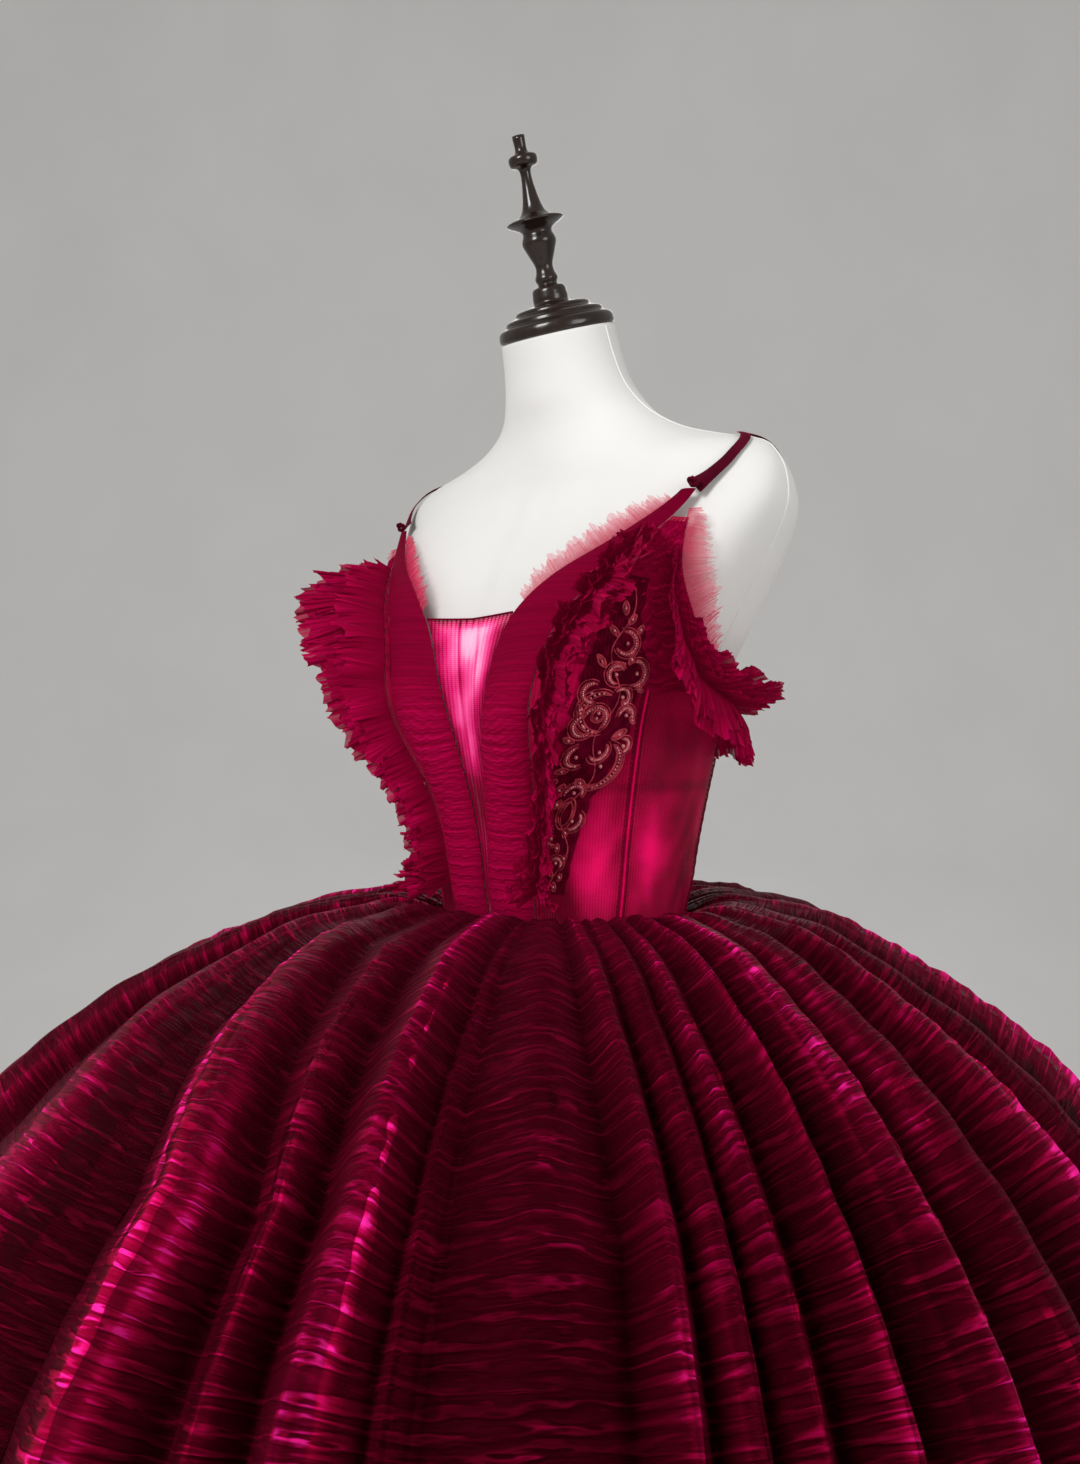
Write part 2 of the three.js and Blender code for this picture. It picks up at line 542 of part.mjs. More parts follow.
// A gathered strip sewn along its middle: two frilled lobes stand up from the gathering line
function ruffle(name, rows, waves, lift) {
  const stations = fractions(waves * STEPS_A_WAVE);
  const lobes = [-1, -0.52, 0, 0.52, 1];
  const section = (share, depth) => {
    const frame = lineFrame(rows, share, lift);
    const phase = 2 * Math.PI * waves * share;
    const flat = lobes.map((lobe) => {
      const isInner = lobe < 0;
      const reach = isInner ? frame.here.innerReach : frame.here.outerReach;
      const spread = isInner ? frame.here.innerSpread : frame.here.outerSpread;
      const size = Math.abs(lobe);
      const wave = WAVE_SHARE * reach * size * Math.sin(phase + (isInner ? 0 : Math.PI * 0.8));
      return new THREE.Vector2(
        -Math.sign(lobe) * (spread * size ** (isInner ? 1.3 : 0.9) + (lobe === 0 ? 0 : wave)),
        reach * size ** 0.9,
      );
    });
    return flat.map((point, index) => {
      const before = flat[index - 1] ?? point;
      const after = flat[index + 1] ?? point;
      const arriving = point.clone().sub(before).normalize();
      const leaving = after.clone().sub(point).normalize();
      const slope = arriving.clone().add(leaving).normalize();
      const isRoot = lobes[index] === 0;
      const notch = isRoot && depth > 0 ? ROOT_NOTCH : depth;
      const shifted = point.clone().add(new THREE.Vector2(slope.y, -slope.x).multiplyScalar(notch));
      return frame.root.clone()
        .addScaledVector(frame.across, shifted.x)
        .addScaledVector(frame.outward, shifted.y);
    });
  };
  const outer = stations.map((share) => section(share, -CLOTH / 2));
  const inner = stations.map((share) => section(share, CLOTH / 2));
  return bothSides(name, outer, inner, 'tulle');
}

// A narrow waved edge that carries on from a bodice edge, following the form beneath it
function frill(name, { rows, waves, width, depth }) {
  const stations = fractions(waves * STEPS_A_WAVE);
  const point = (share, reach, lift) => {
    const { here, across } = lineFrame(rows, share, 0);
    const alongTurn = bodicePoint(here.turn + 0.5, here.z).sub(bodicePoint(here.turn - 0.5, here.z));
    const alongHeight = bodicePoint(here.turn, here.z + 0.5).sub(bodicePoint(here.turn, here.z - 0.5));
    const turnSquare = alongTurn.lengthSq();
    const mixed = alongTurn.dot(alongHeight);
    const heightSquare = alongHeight.lengthSq();
    const det = turnSquare * heightSquare - mixed * mixed;
    const a = across.dot(alongTurn);
    const b = across.dot(alongHeight);
    const turnStep = (a * heightSquare - b * mixed) / det;
    const heightStep = (b * turnSquare - a * mixed) / det;
    return bodicePoint(here.turn + reach * turnStep, here.z + reach * heightStep, lift);
  };
  const reaches = [Math.sign(width) * SEAM_GAP * 4, width * 0.5, width];
  const grid = (thickness) => stations.map((share) => reaches.map((reach, index) => {
    const wave = depth * (index / 2) * Math.sin(2 * Math.PI * waves * share);
    return point(share, reach, wave - thickness - 0.6);
  }));
  return bothSides(name, grid(0), grid(CLOTH * 0.75), 'paleTulle');
}

// Raised lace motif with scalloped edges and corded ridges
function applique() {
  const shares = fractions(APPLIQUE_STEPS);
  const columns = [-1, -0.5, 0, 0.5, 1];
  const grid = (isOuter) => shares.map((share, row) => {
    const here = rowAlong(APPLIQUE, share);
    const scallop = 0.8 + 0.2 * Math.cos(2 * Math.PI * APPLIQUE_SCALLOPS * share);
    return columns.map((column, index) => {
      const reach = column < 0 ? here.inner : here.outer;
      const turn = here.turn + turnOf(column * reach * scallop, here.turn, here.z);
      const ridge = (row + index) % 2 === 0 ? 0.9 : 0.2;
      return bodicePoint(turn, here.z, isOuter ? 2.2 + ridge : 1);
    });
  });
  return bothSides('applique', grid(true), grid(false), 'lace');
}

// A boning channel sewn over a panel seam
function boneCasing(name, seam, top) {
  const place = (u, v) => {
    const z = lerp(BODICE_BOTTOM + 2, top, v);
    return { turn: seam + turnOf((2 * u - 1) * CASING.half, seam, z), z };
  };
  const [outer, inner] = panelGrids(
    fractions(CASING.rows),
    fractions(1),
    place,
    CASING.thickness + 2 * SEAM_GAP,
    CASING.thickness,
  );
  return bothSides(name, outer, inner, 'mesh');
}

// A ribbon over the shoulder, on the form's own surface
function strap() {
  const formSkin = (turn, z, lift) => formPoint(turn, z)
    .addScaledVector(surfaceNormal(formPoint, turn, z), lift);
  const middle = (share) => {
    const { turn, z } = rowAlong(STRAP, share);
    const cup = bodiceSkin(turn, z).distanceTo(formPoint(turn, z));
    const ease = Math.max(0, 1 - share * 4) + Math.max(0, share * 6 - 5);
    return formSkin(turn, z, lerp(STRAP_LIFT, cup - CLOTH, ease));
  };
  const section = (share, depth) => {
    const { turn, z, half } = rowAlong(STRAP, share);
    const ahead = middle(Math.min(share + 0.01, 1));
    const behind = middle(Math.max(share - 0.01, 0));
    const along = ahead.sub(behind).normalize();
    const outward = surfaceNormal(formPoint, turn, z);
    const side = along.clone().cross(outward).normalize();
    return [-half, half].map((width) => middle(share)
      .addScaledVector(side, width)
      .addScaledVector(outward, depth));
  };
  const stations = fractions(STRAP_STEPS);
  const outer = stations.map((share) => section(share, CLOTH));
  const inner = stations.map((share) => section(share, 0));
  return bothSides('strap', outer, inner, 'velvet');
}

// A tiny tied knot on the foot of each strap
function knots() {
  const ball = new THREE.SphereGeometry(KNOT.radius, 10, 6).scale(1.2, 0.7, 0.9);
  const seat = bodicePoint(KNOT.turn, KNOT.z, KNOT.lift);
  return [['left', 1], ['right', -1]].map(([side, sign]) => {
    const mesh = piece(`strap_knot_${side}`, ball.clone(), 'velvet');
    mesh.position.set(sign * seat.x, seat.y, seat.z);
    return mesh;
  });
}

// Where a fold line lies round the skirt, from its places at the waist and below the hip
function foldTurn(fold, radius) {
  const start = WAIST_SHAPE.half;
  const share = THREE.MathUtils.clamp((radius - start) / (FOLD_SETTLES_BY - start), 0, 1);
  return lerp(fold.waist, fold.low, share ** 0.8);
}

// The crest surface of the skirt at a turn and a share of the way down its profile
function skirtCrest(turn, share) {
  const row = rowAlong(SKIRT_PROFILE, share);
  const toward = radians(turn - FULLER.turn);
  const away = THREE.MathUtils.clamp((row.radius - WAIST_SHAPE.roundBy) / 120, 0, 1);
  const side = Math.sin(radians(turn));
  const face = Math.cos(radians(turn));
  const depth = face > 0 ? WAIST_SHAPE.front : WAIST_SHAPE.back;
  const waist = 1 / Math.hypot(side / WAIST_SHAPE.half, face / depth);
  const roundness = THREE.MathUtils.clamp(
    (row.radius - WAIST_SHAPE.half) / (WAIST_SHAPE.roundBy - WAIST_SHAPE.half),
    0,
    1,
  );
  const radius = lerp(row.radius + waist - WAIST_SHAPE.half, row.radius, roundness)
    * (1 + away * FULLER.share * Math.cos(toward));
  return new THREE.Vector3(radius * side, -radius * face, WAIST_HEIGHT + row.z);
}

function skirtNormal(turn, share) {
  const low = Math.min(share + 0.01, 1);
  const high = Math.max(share - 0.01, 0);
  const around = skirtCrest(turn + 0.5, share).sub(skirtCrest(turn - 0.5, share));
  return around.cross(skirtCrest(turn, high).sub(skirtCrest(turn, low))).normalize();
}

// A point of the folded skirt: each fold is a round crest between two sharp valleys
function skirtPoint(fold, next, across, share) {
  const row = rowAlong(SKIRT_PROFILE, share);
  const turn = lerp(foldTurn(fold, row.radius), foldTurn(next, row.radius), across);
  const arch = Math.sin(Math.PI * across) ** CREST_SHARPNESS;
  const normal = skirtNormal(turn, share);
  const around = normal.clone().cross(UP).negate().normalize();
  return skirtCrest(turn, share)
    .addScaledVector(normal, row.fold * (fold.rise * arch - FOLD_BASE))
    .addScaledVector(around, row.fold * fold.lean * arch);
}

function skirtGores() {
  const folds = SKIRT_FOLDS.map((fold, index) => {
    const following = SKIRT_FOLDS[index + 1];
    const wrapped = { waist: SKIRT_FOLDS[0].waist + 360, low: SKIRT_FOLDS[0].low + 360 };
    return { fold, next: following ?? wrapped };
  });
  return GORE_STARTS.map((start, gore) => {
    const own = folds.slice(start, GORE_STARTS[gore + 1] ?? folds.length);
    const grid = (depth) => SKIRT_ROWS.map((share) => {
      const points = own.flatMap(({ fold, next }, index) => {
        const isLast = index === own.length - 1;
        const steps = fractions(STEPS_A_FOLD).slice(0, isLast ? undefined : STEPS_A_FOLD);
        return steps.map((across) => {
          const point = skirtPoint(fold, next, across, share);
          const turn = THREE.MathUtils.radToDeg(Math.atan2(point.x, -point.y));
          return point.addScaledVector(skirtNormal(turn, share), -depth);
        });
      });
      return trimmed(points, SEAM_GAP / 2);
    });
    return piece(`skirt_gore_${gore + 1}`, wallGeometry(grid(0), grid(CLOTH)), 'organza');
  });
}

// A row of points with both its ends drawn in by a small distance
function trimmed(points, distance) {
  const drawIn = (end, neighbour) => end.clone()
    .add(neighbour.clone().sub(end).setLength(distance));
  const last = points.length - 1;
  return [
    drawIn(points[0], points[1]),
    ...points.slice(1, last),
    drawIn(points[last], points[last - 1]),
  ];
}

// The smooth layer under the organza that holds it out
function underskirt() {
  const grid = (depth) => UNDERSKIRT.rows.map((share) => {
    const row = rowAlong(SKIRT_PROFILE, share);
    const inset = UNDERSKIRT.top + row.fold * (FOLD_BASE + UNDERSKIRT.inset) + depth;
    return fractions(UNDERSKIRT.sides).slice(0, UNDERSKIRT.sides).map((around) => {
      const turn = 360 * around;
      return skirtCrest(turn, share).addScaledVector(skirtNormal(turn, share), -inset);
    });
  });
  return piece('underskirt', wallGeometry(grid(0), grid(CLOTH), true), 'lining');
}

const gown = new THREE.Group();
gown.add(
  dressForm(),
  neckFinial(),
  ...stand(),
  ...frontPanel(),
  ...roundPanel('side_panel', PRINCESS_SEAM, SIDE_SEAM, 5),
  ...roundPanel('back_panel', SIDE_SEAM, 180, 5),
  modestyPanel(),
  ...necklineBand(),
  ...boneCasing('bone_casing_front', PRINCESS_SEAM, CASING.frontTop),
  ...boneCasing('bone_casing_side', SIDE_SEAM, CASING.sideTop),
  ...applique(),
  ...ruffle('ruffle_front', FRONT_RUFFLE, FRONT_RUFFLE_WAVES, FRONT_RUFFLE_LIFT),
  ...ruffle('ruffle_arm', ARM_RUFFLE, ARM_RUFFLE_WAVES, ARM_RUFFLE_LIFT),
  ...frill('frill_neck', NECK_FRILL),
  ...frill('frill_arm', ARM_FRILL),
  ...strap(),
  ...knots(),
  ...skirtGores(),
  underskirt(),
);

export default gown;
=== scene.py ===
# Looks of a ball gown on a limbless dress form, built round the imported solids
import math

import bpy
import numpy as np
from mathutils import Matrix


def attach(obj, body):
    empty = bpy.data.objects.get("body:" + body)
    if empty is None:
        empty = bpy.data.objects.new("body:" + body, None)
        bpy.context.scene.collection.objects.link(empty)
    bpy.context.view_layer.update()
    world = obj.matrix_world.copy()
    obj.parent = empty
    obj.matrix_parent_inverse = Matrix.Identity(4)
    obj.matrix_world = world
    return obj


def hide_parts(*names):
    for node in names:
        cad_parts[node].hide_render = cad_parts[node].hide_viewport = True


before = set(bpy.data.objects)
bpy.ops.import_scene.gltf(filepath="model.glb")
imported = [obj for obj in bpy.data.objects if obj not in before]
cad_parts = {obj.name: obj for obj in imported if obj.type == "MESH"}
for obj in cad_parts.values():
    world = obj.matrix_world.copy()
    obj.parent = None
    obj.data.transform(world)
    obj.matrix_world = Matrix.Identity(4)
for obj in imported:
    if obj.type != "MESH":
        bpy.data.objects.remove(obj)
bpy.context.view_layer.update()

# Sizes in millimetres, turned into metres when a mesh is made
MM = 0.001
WAIST_HEIGHT = 1040
CLOTH = 1.6
FORM_CLEARANCE = 7
BODICE_BOTTOM = 1.5
NECK_LEAN = 18
FORM_BOTTOM = -200
FORM_TOP = 510
POLE_RADIUS = 16
BASE_RADIUS = 170
BASE_THICKNESS = 12
SIDES = {"left": 1, "right": -1}
FULL_TURN = 2 * math.pi

# The camera's place: turn round the body, distance, height and lens
CAMERA_TURN = 42
CAMERA_DISTANCE = 1150
CAMERA_ABOVE_WAIST = 160
CAMERA_SIDESTEP = 17.7
LENS_MM = 32
SENSOR_MM = 36

# Lights in metres and watts: size, power, place and the point each one faces
LIGHTS = {
    "key": (0.8, 44, (0.3, -2.2, 2.3), (0, 0, 0.9)),
    "side": (1.4, 30, (3.0, -0.4, 1.7), (0, 0, 0.8)),
    "back rim": (1.6, 12, (-2.0, 2.6, 2.7), (0, 0, 1.0)),
}
SKY_COLOUR = (0.94, 0.93, 0.92, 1)
SKY_STRENGTH = 0.5

# The dress form, ring by ring above the waist
FORM_RINGS = {
    "z": [-200, -120, -60, 0, 36, 69, 137, 175, 215, 260, 305, 342, 368, 385, 396, 405, 416, 430,
          444, 462, 486, 510],
    "half": [146, 150, 128, 112, 113, 117.5, 132, 140, 152, 172, 195, 209, 208, 200, 187, 153, 116,
             88, 71, 60, 54, 51],
    "front": [102, 106, 94, 85, 85, 87.5, 99, 104, 106, 101, 84, 66, 60, 62, 63, 62, 60, 58, 56, 54,
              51, 50],
    "back": [104, 108, 98, 92, 92, 95.5, 104, 110, 119, 122, 115, 103, 88, 77, 66, 60, 53, 52, 52,
             51, 50, 50],
    "centre": [0, 0, 0, 0, 0, 0, 0, 1, 4, 10, 16, 22, 27, 30, 31, 30, 28, 25, 20, 12, 4, -3],
    "lean": [0, 0, 0, 0, 0, 0, 0, 0, 0, 0, 0, 0, 0, 0, 1, 2, 4, 8, 12, 16, 18, 18],
    "square": [2.1, 2.1, 2.1, 2.1, 2.1, 2.1, 2.15, 2.2, 2.35, 2.5, 2.7, 2.7, 2.4, 2, 1.7, 1.65,
               1.75, 1.9, 2, 2, 2, 2],
}
BUST = {"turn": 31, "spread_turn": 21, "z": 184, "spread_z": 52, "rise": 25}
CUP_STAND_OFF = {"turn": 30, "spread_turn": 34, "z": 262, "spread_z": 52, "rise": 15}
WAIST_GRIP = {"z": 0, "spread_z": 26, "draw_in": 5.9}

# Turned cap and finial along the neck's leaning axis
FINIAL_PROFILE = {
    "height": [0, 3, 10, 13, 17, 20, 24, 27, 33, 40, 43, 48, 54, 60, 70, 79, 88, 94, 97, 103, 122,
               138, 142, 149, 153, 166],
    "radius": [49.5, 51.5, 50, 44, 42, 34, 31, 17, 15.5, 14, 8.5, 10, 8, 8, 12, 15, 13, 23, 24,
               11, 5.8, 5, 11.5, 12, 5.5, 5.5],
}

# Edges of the bodice: turns from centre front in degrees at heights above the waist
NECKLINE = {
    "z": [0, 60, 104, 150, 184, 224, 247, 275, 297, 320, 346],
    "turn": [1, 1.6, 3, 5.5, 8, 10.5, 13, 20, 27.5, 35, 42.5],
}
BAND_OUTER = {
    "z": [0, 60, 104, 150, 184, 224, 247, 275, 297, 320, 346],
    "turn": [22, 22.5, 23.5, 25.5, 26.5, 28, 30, 34.5, 39, 44, 48],
}
ARMHOLE = {
    "z": [208, 218, 236, 264, 286, 308, 330, 346],
    "turn": [118, 93, 79, 66, 57.5, 52.5, 49.5, 48.5],
}
BACK_TOP = {
    "turn": [62, 66, 79, 93, 118, 150, 180],
    "z": [273, 264, 236, 218, 208, 200, 194],
}
PRINCESS_SEAM = 62
SIDE_SEAM = 118
CENTRE_BACK = 180
FRONT_PANEL_TOP = 322
BAND_TOP = 345
RUCHED_TOP = 196
FRONT_BONE_TOP = 196
SIDE_BONE_TOP = 140
MODESTY_BOTTOM = 3
MODESTY_TOP = 248
# Degrees that each piece stays back from a seam
SEAM_TURN = 0.1
PANEL_ROWS = 100
PANEL_COLUMNS = 44

# The crest line of the skirt: radius, height beside the waist and fold depth
SKIRT_PROFILE = {
    "radius": [114, 150, 190, 240, 300, 350, 400, 440, 475, 510, 545, 580, 630, 670, 700, 715],
    "z": [0, 14, 10, 0, -27, -52, -86, -120, -160, -212, -280, -360, -520, -700, -880, -1025],
    "fold": [0, 0.15, 0.27, 0.42, 0.6, 0.74, 0.86, 0.94, 1, 1.05, 1.1, 1.15, 1.2, 1.25, 1.3, 1.3],
}
FOLD_BASE = 34
CREST_SHARPNESS = 1.1
FULLER = {"turn": -48, "share": 0.055}
WAIST_SHAPE = {"half": 114.5, "front": 87.5, "back": 94.5, "round_by": 210}
FOLD_SETTLES_BY = 430

# Skirt folds in order: valley at the waist and below the hip, crest rise and crest lean
SKIRT_FOLDS = {
    "waist": [-34, -10, 10, 27, 31, 41, 48, 56, 62, 71, 83, 94, 106, 118, 131, 143, 155, 166, 178,
              190, 202, 214, 226, 239, 251, 263, 276, 288, 300, 312],
    "low": [3, 16, 21.5, 29, 32.5, 46, 51, 55, 59.5, 65, 74, 85, 98, 111, 126, 139, 152, 165, 177,
            191, 204, 218, 232, 247, 261, 275, 290, 304, 318, 334],
    "rise": [34, 22, 38, 5, 24, 27, 22, 24, 32, 32, 27, 31, 25, 34, 28, 31, 24, 34, 28, 31, 25, 34,
             30, 26, 34, 28, 32, 26, 33, 28],
    "lean": [10, 4, 6, 0, 0, 5, 3, -4, 4, 8, 5, 8, -6, 7, -5, 8, 0, -8, 5, 8, -6, 6, -7, 5, 8, -6,
             7, -5, 8, 6],
}
# How bright the painted light on each fold is, and how far across it its crest line lies
FOLD_LIGHT = {
    "glow": [0.95, 0.25, 0.75, 0.0, 0.16, 0.5, 0.4, 0.5, 0.6, 0.9, 0.5, 0.75, 0.35, 0.8, 0.45, 0.6,
             0.9, 0.35, 0.6, 0.8, 0.3, 0.7, 0.5, 0.85, 0.4, 0.65, 0.9, 0.45, 0.6, 0.7],
    "line": [0.38, 0.5, 0.72, 0.5, 0.86, 0.55, 0.4, 0.6, 0.45, 0.62, 0.4, 0.58, 0.35, 0.6, 0.45,
             0.66, 0.4, 0.55, 0.35, 0.62, 0.5, 0.4, 0.6, 0.36, 0.55, 0.64, 0.42, 0.5, 0.6, 0.4],
}
GORE_STARTS = [0, 4, 8, 12, 16, 19, 23, 27, 30]
# Mesh steps in each fold and rows down the skirt; the veil lies looser over the gores
GORE_SHEET = {"steps": 24, "rows": 175}
VEIL_SHEET = {"steps": 12, "rows": 115, "lift": 3.0, "seed": 40, "slack": 0.08}
UNDERSKIRT = {"inset": 10, "top": 2.1}

# Where each ruffle is gathered, and the reach and spread of its two lobes
FRONT_RUFFLE = {
    "z": [306, 288, 264, 230, 186, 142, 92, 50, 30],
    "turn": [41.7, 38.9, 35.5, 31.5, 29.8, 28.4, 26.3, 25, 24.5],
    "outer_reach": [22, 56, 62, 54, 40, 29, 26, 30, 42],
    "outer_spread": [13, 32, 42, 38, 29, 21, 17, 18, 26],
    "inner_reach": [14, 34, 42, 40, 33, 26, 24, 28, 34],
    "inner_spread": [0, -2, -3, -4, -4, -3, 0, 6, 14],
}
ARM_RUFFLE = {
    "z": [296, 270, 236, 207, 192, 186, 182, 178],
    "turn": [53.5, 58, 69.5, 84, 102, 122, 146, 172],
    "outer_reach": [5, 8, 24, 34, 36, 36, 30, 24],
    "outer_spread": [2, 3, 11, 18, 20, 20, 17, 12],
    "inner_reach": [8, 14, 36, 42, 36, 32, 28, 22],
    "inner_spread": [2, 6, 24, 34, 38, 38, 32, 24],
}
# Pleats of the tulle, coarse to fine: period, drift and slow period in mm, and a seed
PLEATS = {
    "period": [6.3, 3.7, 2.3],
    "drift": [2.6, 2.0, 1.5],
    "slow_period": [24, 15, 11],
    "seed": [1, 7, 13],
}
# Width of one mesh column, rows from root to free edge, and layers
RUFFLE_MESH = {"column": 1.1, "rows": 16, "layers": 3}
FRILL_MESH = {"column": 0.9, "rows": 12, "layers": 2}
NECK_FRILL = {"z": [256, 275, 297, 320, 338], "turn": [14.8, 20, 27.5, 35, 40.4]}
ARM_FRILL = {"z": [330, 308, 286, 264, 242, 220], "turn": [49.5, 52.5, 57.5, 66, 76, 91]}

# Each ruffle's gathering line, waves along it, lift off the bodice, length and cut depth
RUFFLES = {
    "front": {"rows": FRONT_RUFFLE, "waves": 12, "lift": 2.0, "length": 330, "flat_side": 45},
    "arm": {"rows": ARM_RUFFLE, "waves": 8, "lift": 1.6, "length": 300, "flat_side": 35},
}
# Each frill's gathering line, reach towards the neck or arm, waves along it and length
FRILLS = {
    "neck": {"rows": NECK_FRILL, "reach": {"left": 30, "right": 14}, "waves": 8, "length": 130},
    "arm": {"rows": ARM_FRILL, "reach": {"left": 30, "right": 30}, "waves": 7, "length": 150},
}

# Spine of the corded lace motif on each front panel
APPLIQUE = {
    "z": [276, 250, 222, 192, 160, 132, 102, 66, 30],
    "turn": [46, 46, 47.5, 48.5, 47.5, 43.5, 38, 34, 32],
    "inner": [7, 13, 20, 27, 30, 24, 13, 10, 7],
    "outer": [8, 14, 24, 25, 24, 20, 14, 12, 8],
}
STRAP = {
    "turn": [46.2, 51, 58, 66, 76, 90, 104, 115, 122, 128, 134, 140, 145],
    "z": [348.5, 358, 371, 384, 396, 401, 395, 380, 358, 326, 290, 250, 205],
    "half": [9, 6, 4.8, 4.4, 4.2, 4.2, 4.2, 4.2, 4.2, 4.4, 4.6, 5, 6],
}


def table_value(rows, key, at, column):
    """Smooth value of a column between table rows, as the solids use it."""
    keys = np.asarray(rows[key], float)
    values = np.asarray(rows[column], float)
    if keys[0] > keys[-1]:
        keys = keys[::-1]
        values = values[::-1]
    last = len(keys) - 1
    at = np.clip(np.asarray(at, float), keys[0], keys[-1])
    k = np.clip(np.searchsorted(keys, at, side="right") - 1, 0, last - 1)
    before = np.maximum(np.arange(last + 1) - 1, 0)
    after = np.minimum(np.arange(last + 1) + 1, last)
    slopes = (values[after] - values[before]) / (keys[after] - keys[before])
    width = keys[k + 1] - keys[k]
    t = (at - keys[k]) / width
    t2 = t * t
    t3 = t2 * t
    return (values[k] * (2 * t3 - 3 * t2 + 1) + slopes[k] * width * (t3 - 2 * t2 + t)
            + values[k + 1] * (3 * t2 - 2 * t3) + slopes[k + 1] * width * (t3 - t2))


def row_along(rows, share):
    """Every column at a share of the way along a table."""
    count = len(next(iter(rows.values())))
    numbered = {**rows, "index": list(range(count))}
    at = np.asarray(share) * (count - 1)
    return {name: table_value(numbered, "index", at, name) for name in rows}


def bell(value, middle, spread):
    return np.exp(-(((value - middle) / spread) ** 2))


def signed_power(value, power):
    return np.sign(value) * np.abs(value) ** power


def unit(vectors):
    return vectors / np.linalg.norm(vectors, axis=-1, keepdims=True)


def wander(value, seed, waves=5, slowest=1.0):
    """A smooth irregular wave between about -1 and 1 along a value."""
    own = np.random.default_rng(seed)
    total = 0
    for step in range(waves):
        pace = slowest * (1.7 ** step)
        total = total + np.sin(value * pace * FULL_TURN + own.uniform(0, FULL_TURN)) / (1.3 ** step)
    return total / waves * 1.6


def form_point(turn, z):
    turn, z = np.broadcast_arrays(np.asarray(turn, float), np.asarray(z, float))
    ring = {name: table_value(FORM_RINGS, "z", z, name) for name in FORM_RINGS if name != "z"}
    side = np.sin(np.radians(turn))
    face = np.cos(np.radians(turn))
    power = 2 / ring["square"]
    depth = np.where(face > 0, ring["front"], ring["back"])
    wrapped = np.abs((turn + 180) % 360 - 180)
    bust = (BUST["rise"] * bell(wrapped, BUST["turn"], BUST["spread_turn"])
            * bell(z, BUST["z"], BUST["spread_z"]))
    x = ring["half"] * signed_power(side, power) + 0.6 * bust * side
    y = -depth * signed_power(face, power) - bust * np.abs(face)
    lean = np.radians(ring["lean"])
    return np.stack([x, ring["centre"] + y * np.cos(lean), WAIST_HEIGHT + z + y * np.sin(lean)], -1)


def surface_normal(surface, turn, z):
    across = surface(turn + 0.5, z) - surface(turn - 0.5, z)
    upward = surface(turn, z + 1) - surface(turn, z - 1)
    return unit(np.cross(across, upward))


def bodice_skin(turn, z):
    turn, z = np.broadcast_arrays(np.asarray(turn, float), np.asarray(z, float))
    cup = CUP_STAND_OFF
    stand_off = (cup["rise"] * bell(np.abs(turn), cup["turn"], cup["spread_turn"])
                 * bell(z, cup["z"], cup["spread_z"]))
    grip = WAIST_GRIP["draw_in"] * bell(z, WAIST_GRIP["z"], WAIST_GRIP["spread_z"])
    out = FORM_CLEARANCE + CLOTH + stand_off - grip
    return form_point(turn, z) + surface_normal(form_point, turn, z) * out[..., None]


def bodice_point(turn, z, lift=0.0):
    turn, z, lift = np.broadcast_arrays(*(np.asarray(v, float) for v in (turn, z, lift)))
    return bodice_skin(turn, z) + surface_normal(bodice_skin, turn, z) * lift[..., None]


def turn_of(width, turn, z):
    """Degrees that a small width takes up round the bodice."""
    span = bodice_skin(turn + 0.5, z) - bodice_skin(turn - 0.5, z)
    return width / np.linalg.norm(span, axis=-1)


# Mesh making


def new_object(name, points, faces, cloth=None, smooth=True):
    """A mesh object from points in millimetres; cloth holds each point's place on its cloth."""
    mesh = bpy.data.meshes.new(name)
    mesh.vertices.add(len(points))
    mesh.vertices.foreach_set("co", (np.asarray(points, np.float32) * MM).ravel())
    faces = np.asarray(faces, np.int32)
    corners = faces.shape[1]
    mesh.loops.add(faces.size)
    mesh.loops.foreach_set("vertex_index", faces.ravel())
    mesh.polygons.add(len(faces))
    mesh.polygons.foreach_set("loop_start", np.arange(0, faces.size, corners, dtype=np.int32))
    mesh.update(calc_edges=True)
    mesh.validate()
    if cloth is not None:
        place = mesh.attributes.new("cloth", "FLOAT_VECTOR", "POINT")
        place.data.foreach_set("vector", np.asarray(cloth, np.float32).ravel())
    if smooth:
        mesh.shade_smooth()
    obj = bpy.data.objects.new(name, mesh)
    bpy.context.scene.collection.objects.link(obj)
    return obj


def grid_faces(rows, columns, start=0, is_ring=False, flip=False):
    row = np.arange(rows - 1)[:, None]
    spans = columns if is_ring else columns - 1
    column = np.arange(spans)[None, :]
    following = (column + 1) % columns
    a = start + row * columns + column
    b = start + row * columns + following
    c = start + (row + 1) * columns + following
    d = start + (row + 1) * columns + column
    faces = np.stack([a, b, c, d], -1).reshape(-1, 4)
    return faces[:, ::-1] if flip else faces


def grids_object(name, grids, is_ring=False, flip=False):
    """One object from several grids, each a pair of points and places on the cloth."""
    points, cloth, faces = [], [], []
    start = 0
    for grid, place in grids:
        rows, columns = grid.shape[:2]
        points.append(grid.reshape(-1, 3))
        cloth.append(place.reshape(-1, 3))
        faces.append(grid_faces(rows, columns, start, is_ring, flip))
        start += rows * columns
    return new_object(name, np.concatenate(points), np.concatenate(faces), np.concatenate(cloth))


def cloth_place(across, along, accent):
    """Place of each point on its flat cloth, and a value for its colour that mostly carries painted light and
    shade.
    """
    across, along, accent = np.broadcast_arrays(
        np.asarray(across, float), np.asarray(along, float), np.asarray(accent, float))
    return np.stack([across, along, accent], -1)


def on_side(grid, sign):
    return grid * np.array([sign, 1, 1])


def sheet_object(name, side, grid, place):
    """One sheet of cloth on the wearer's left or right side, facing out."""
    return grids_object(f"{name}_{side}", [(on_side(grid, SIDES[side]), place)], flip=SIDES[side] < 0)


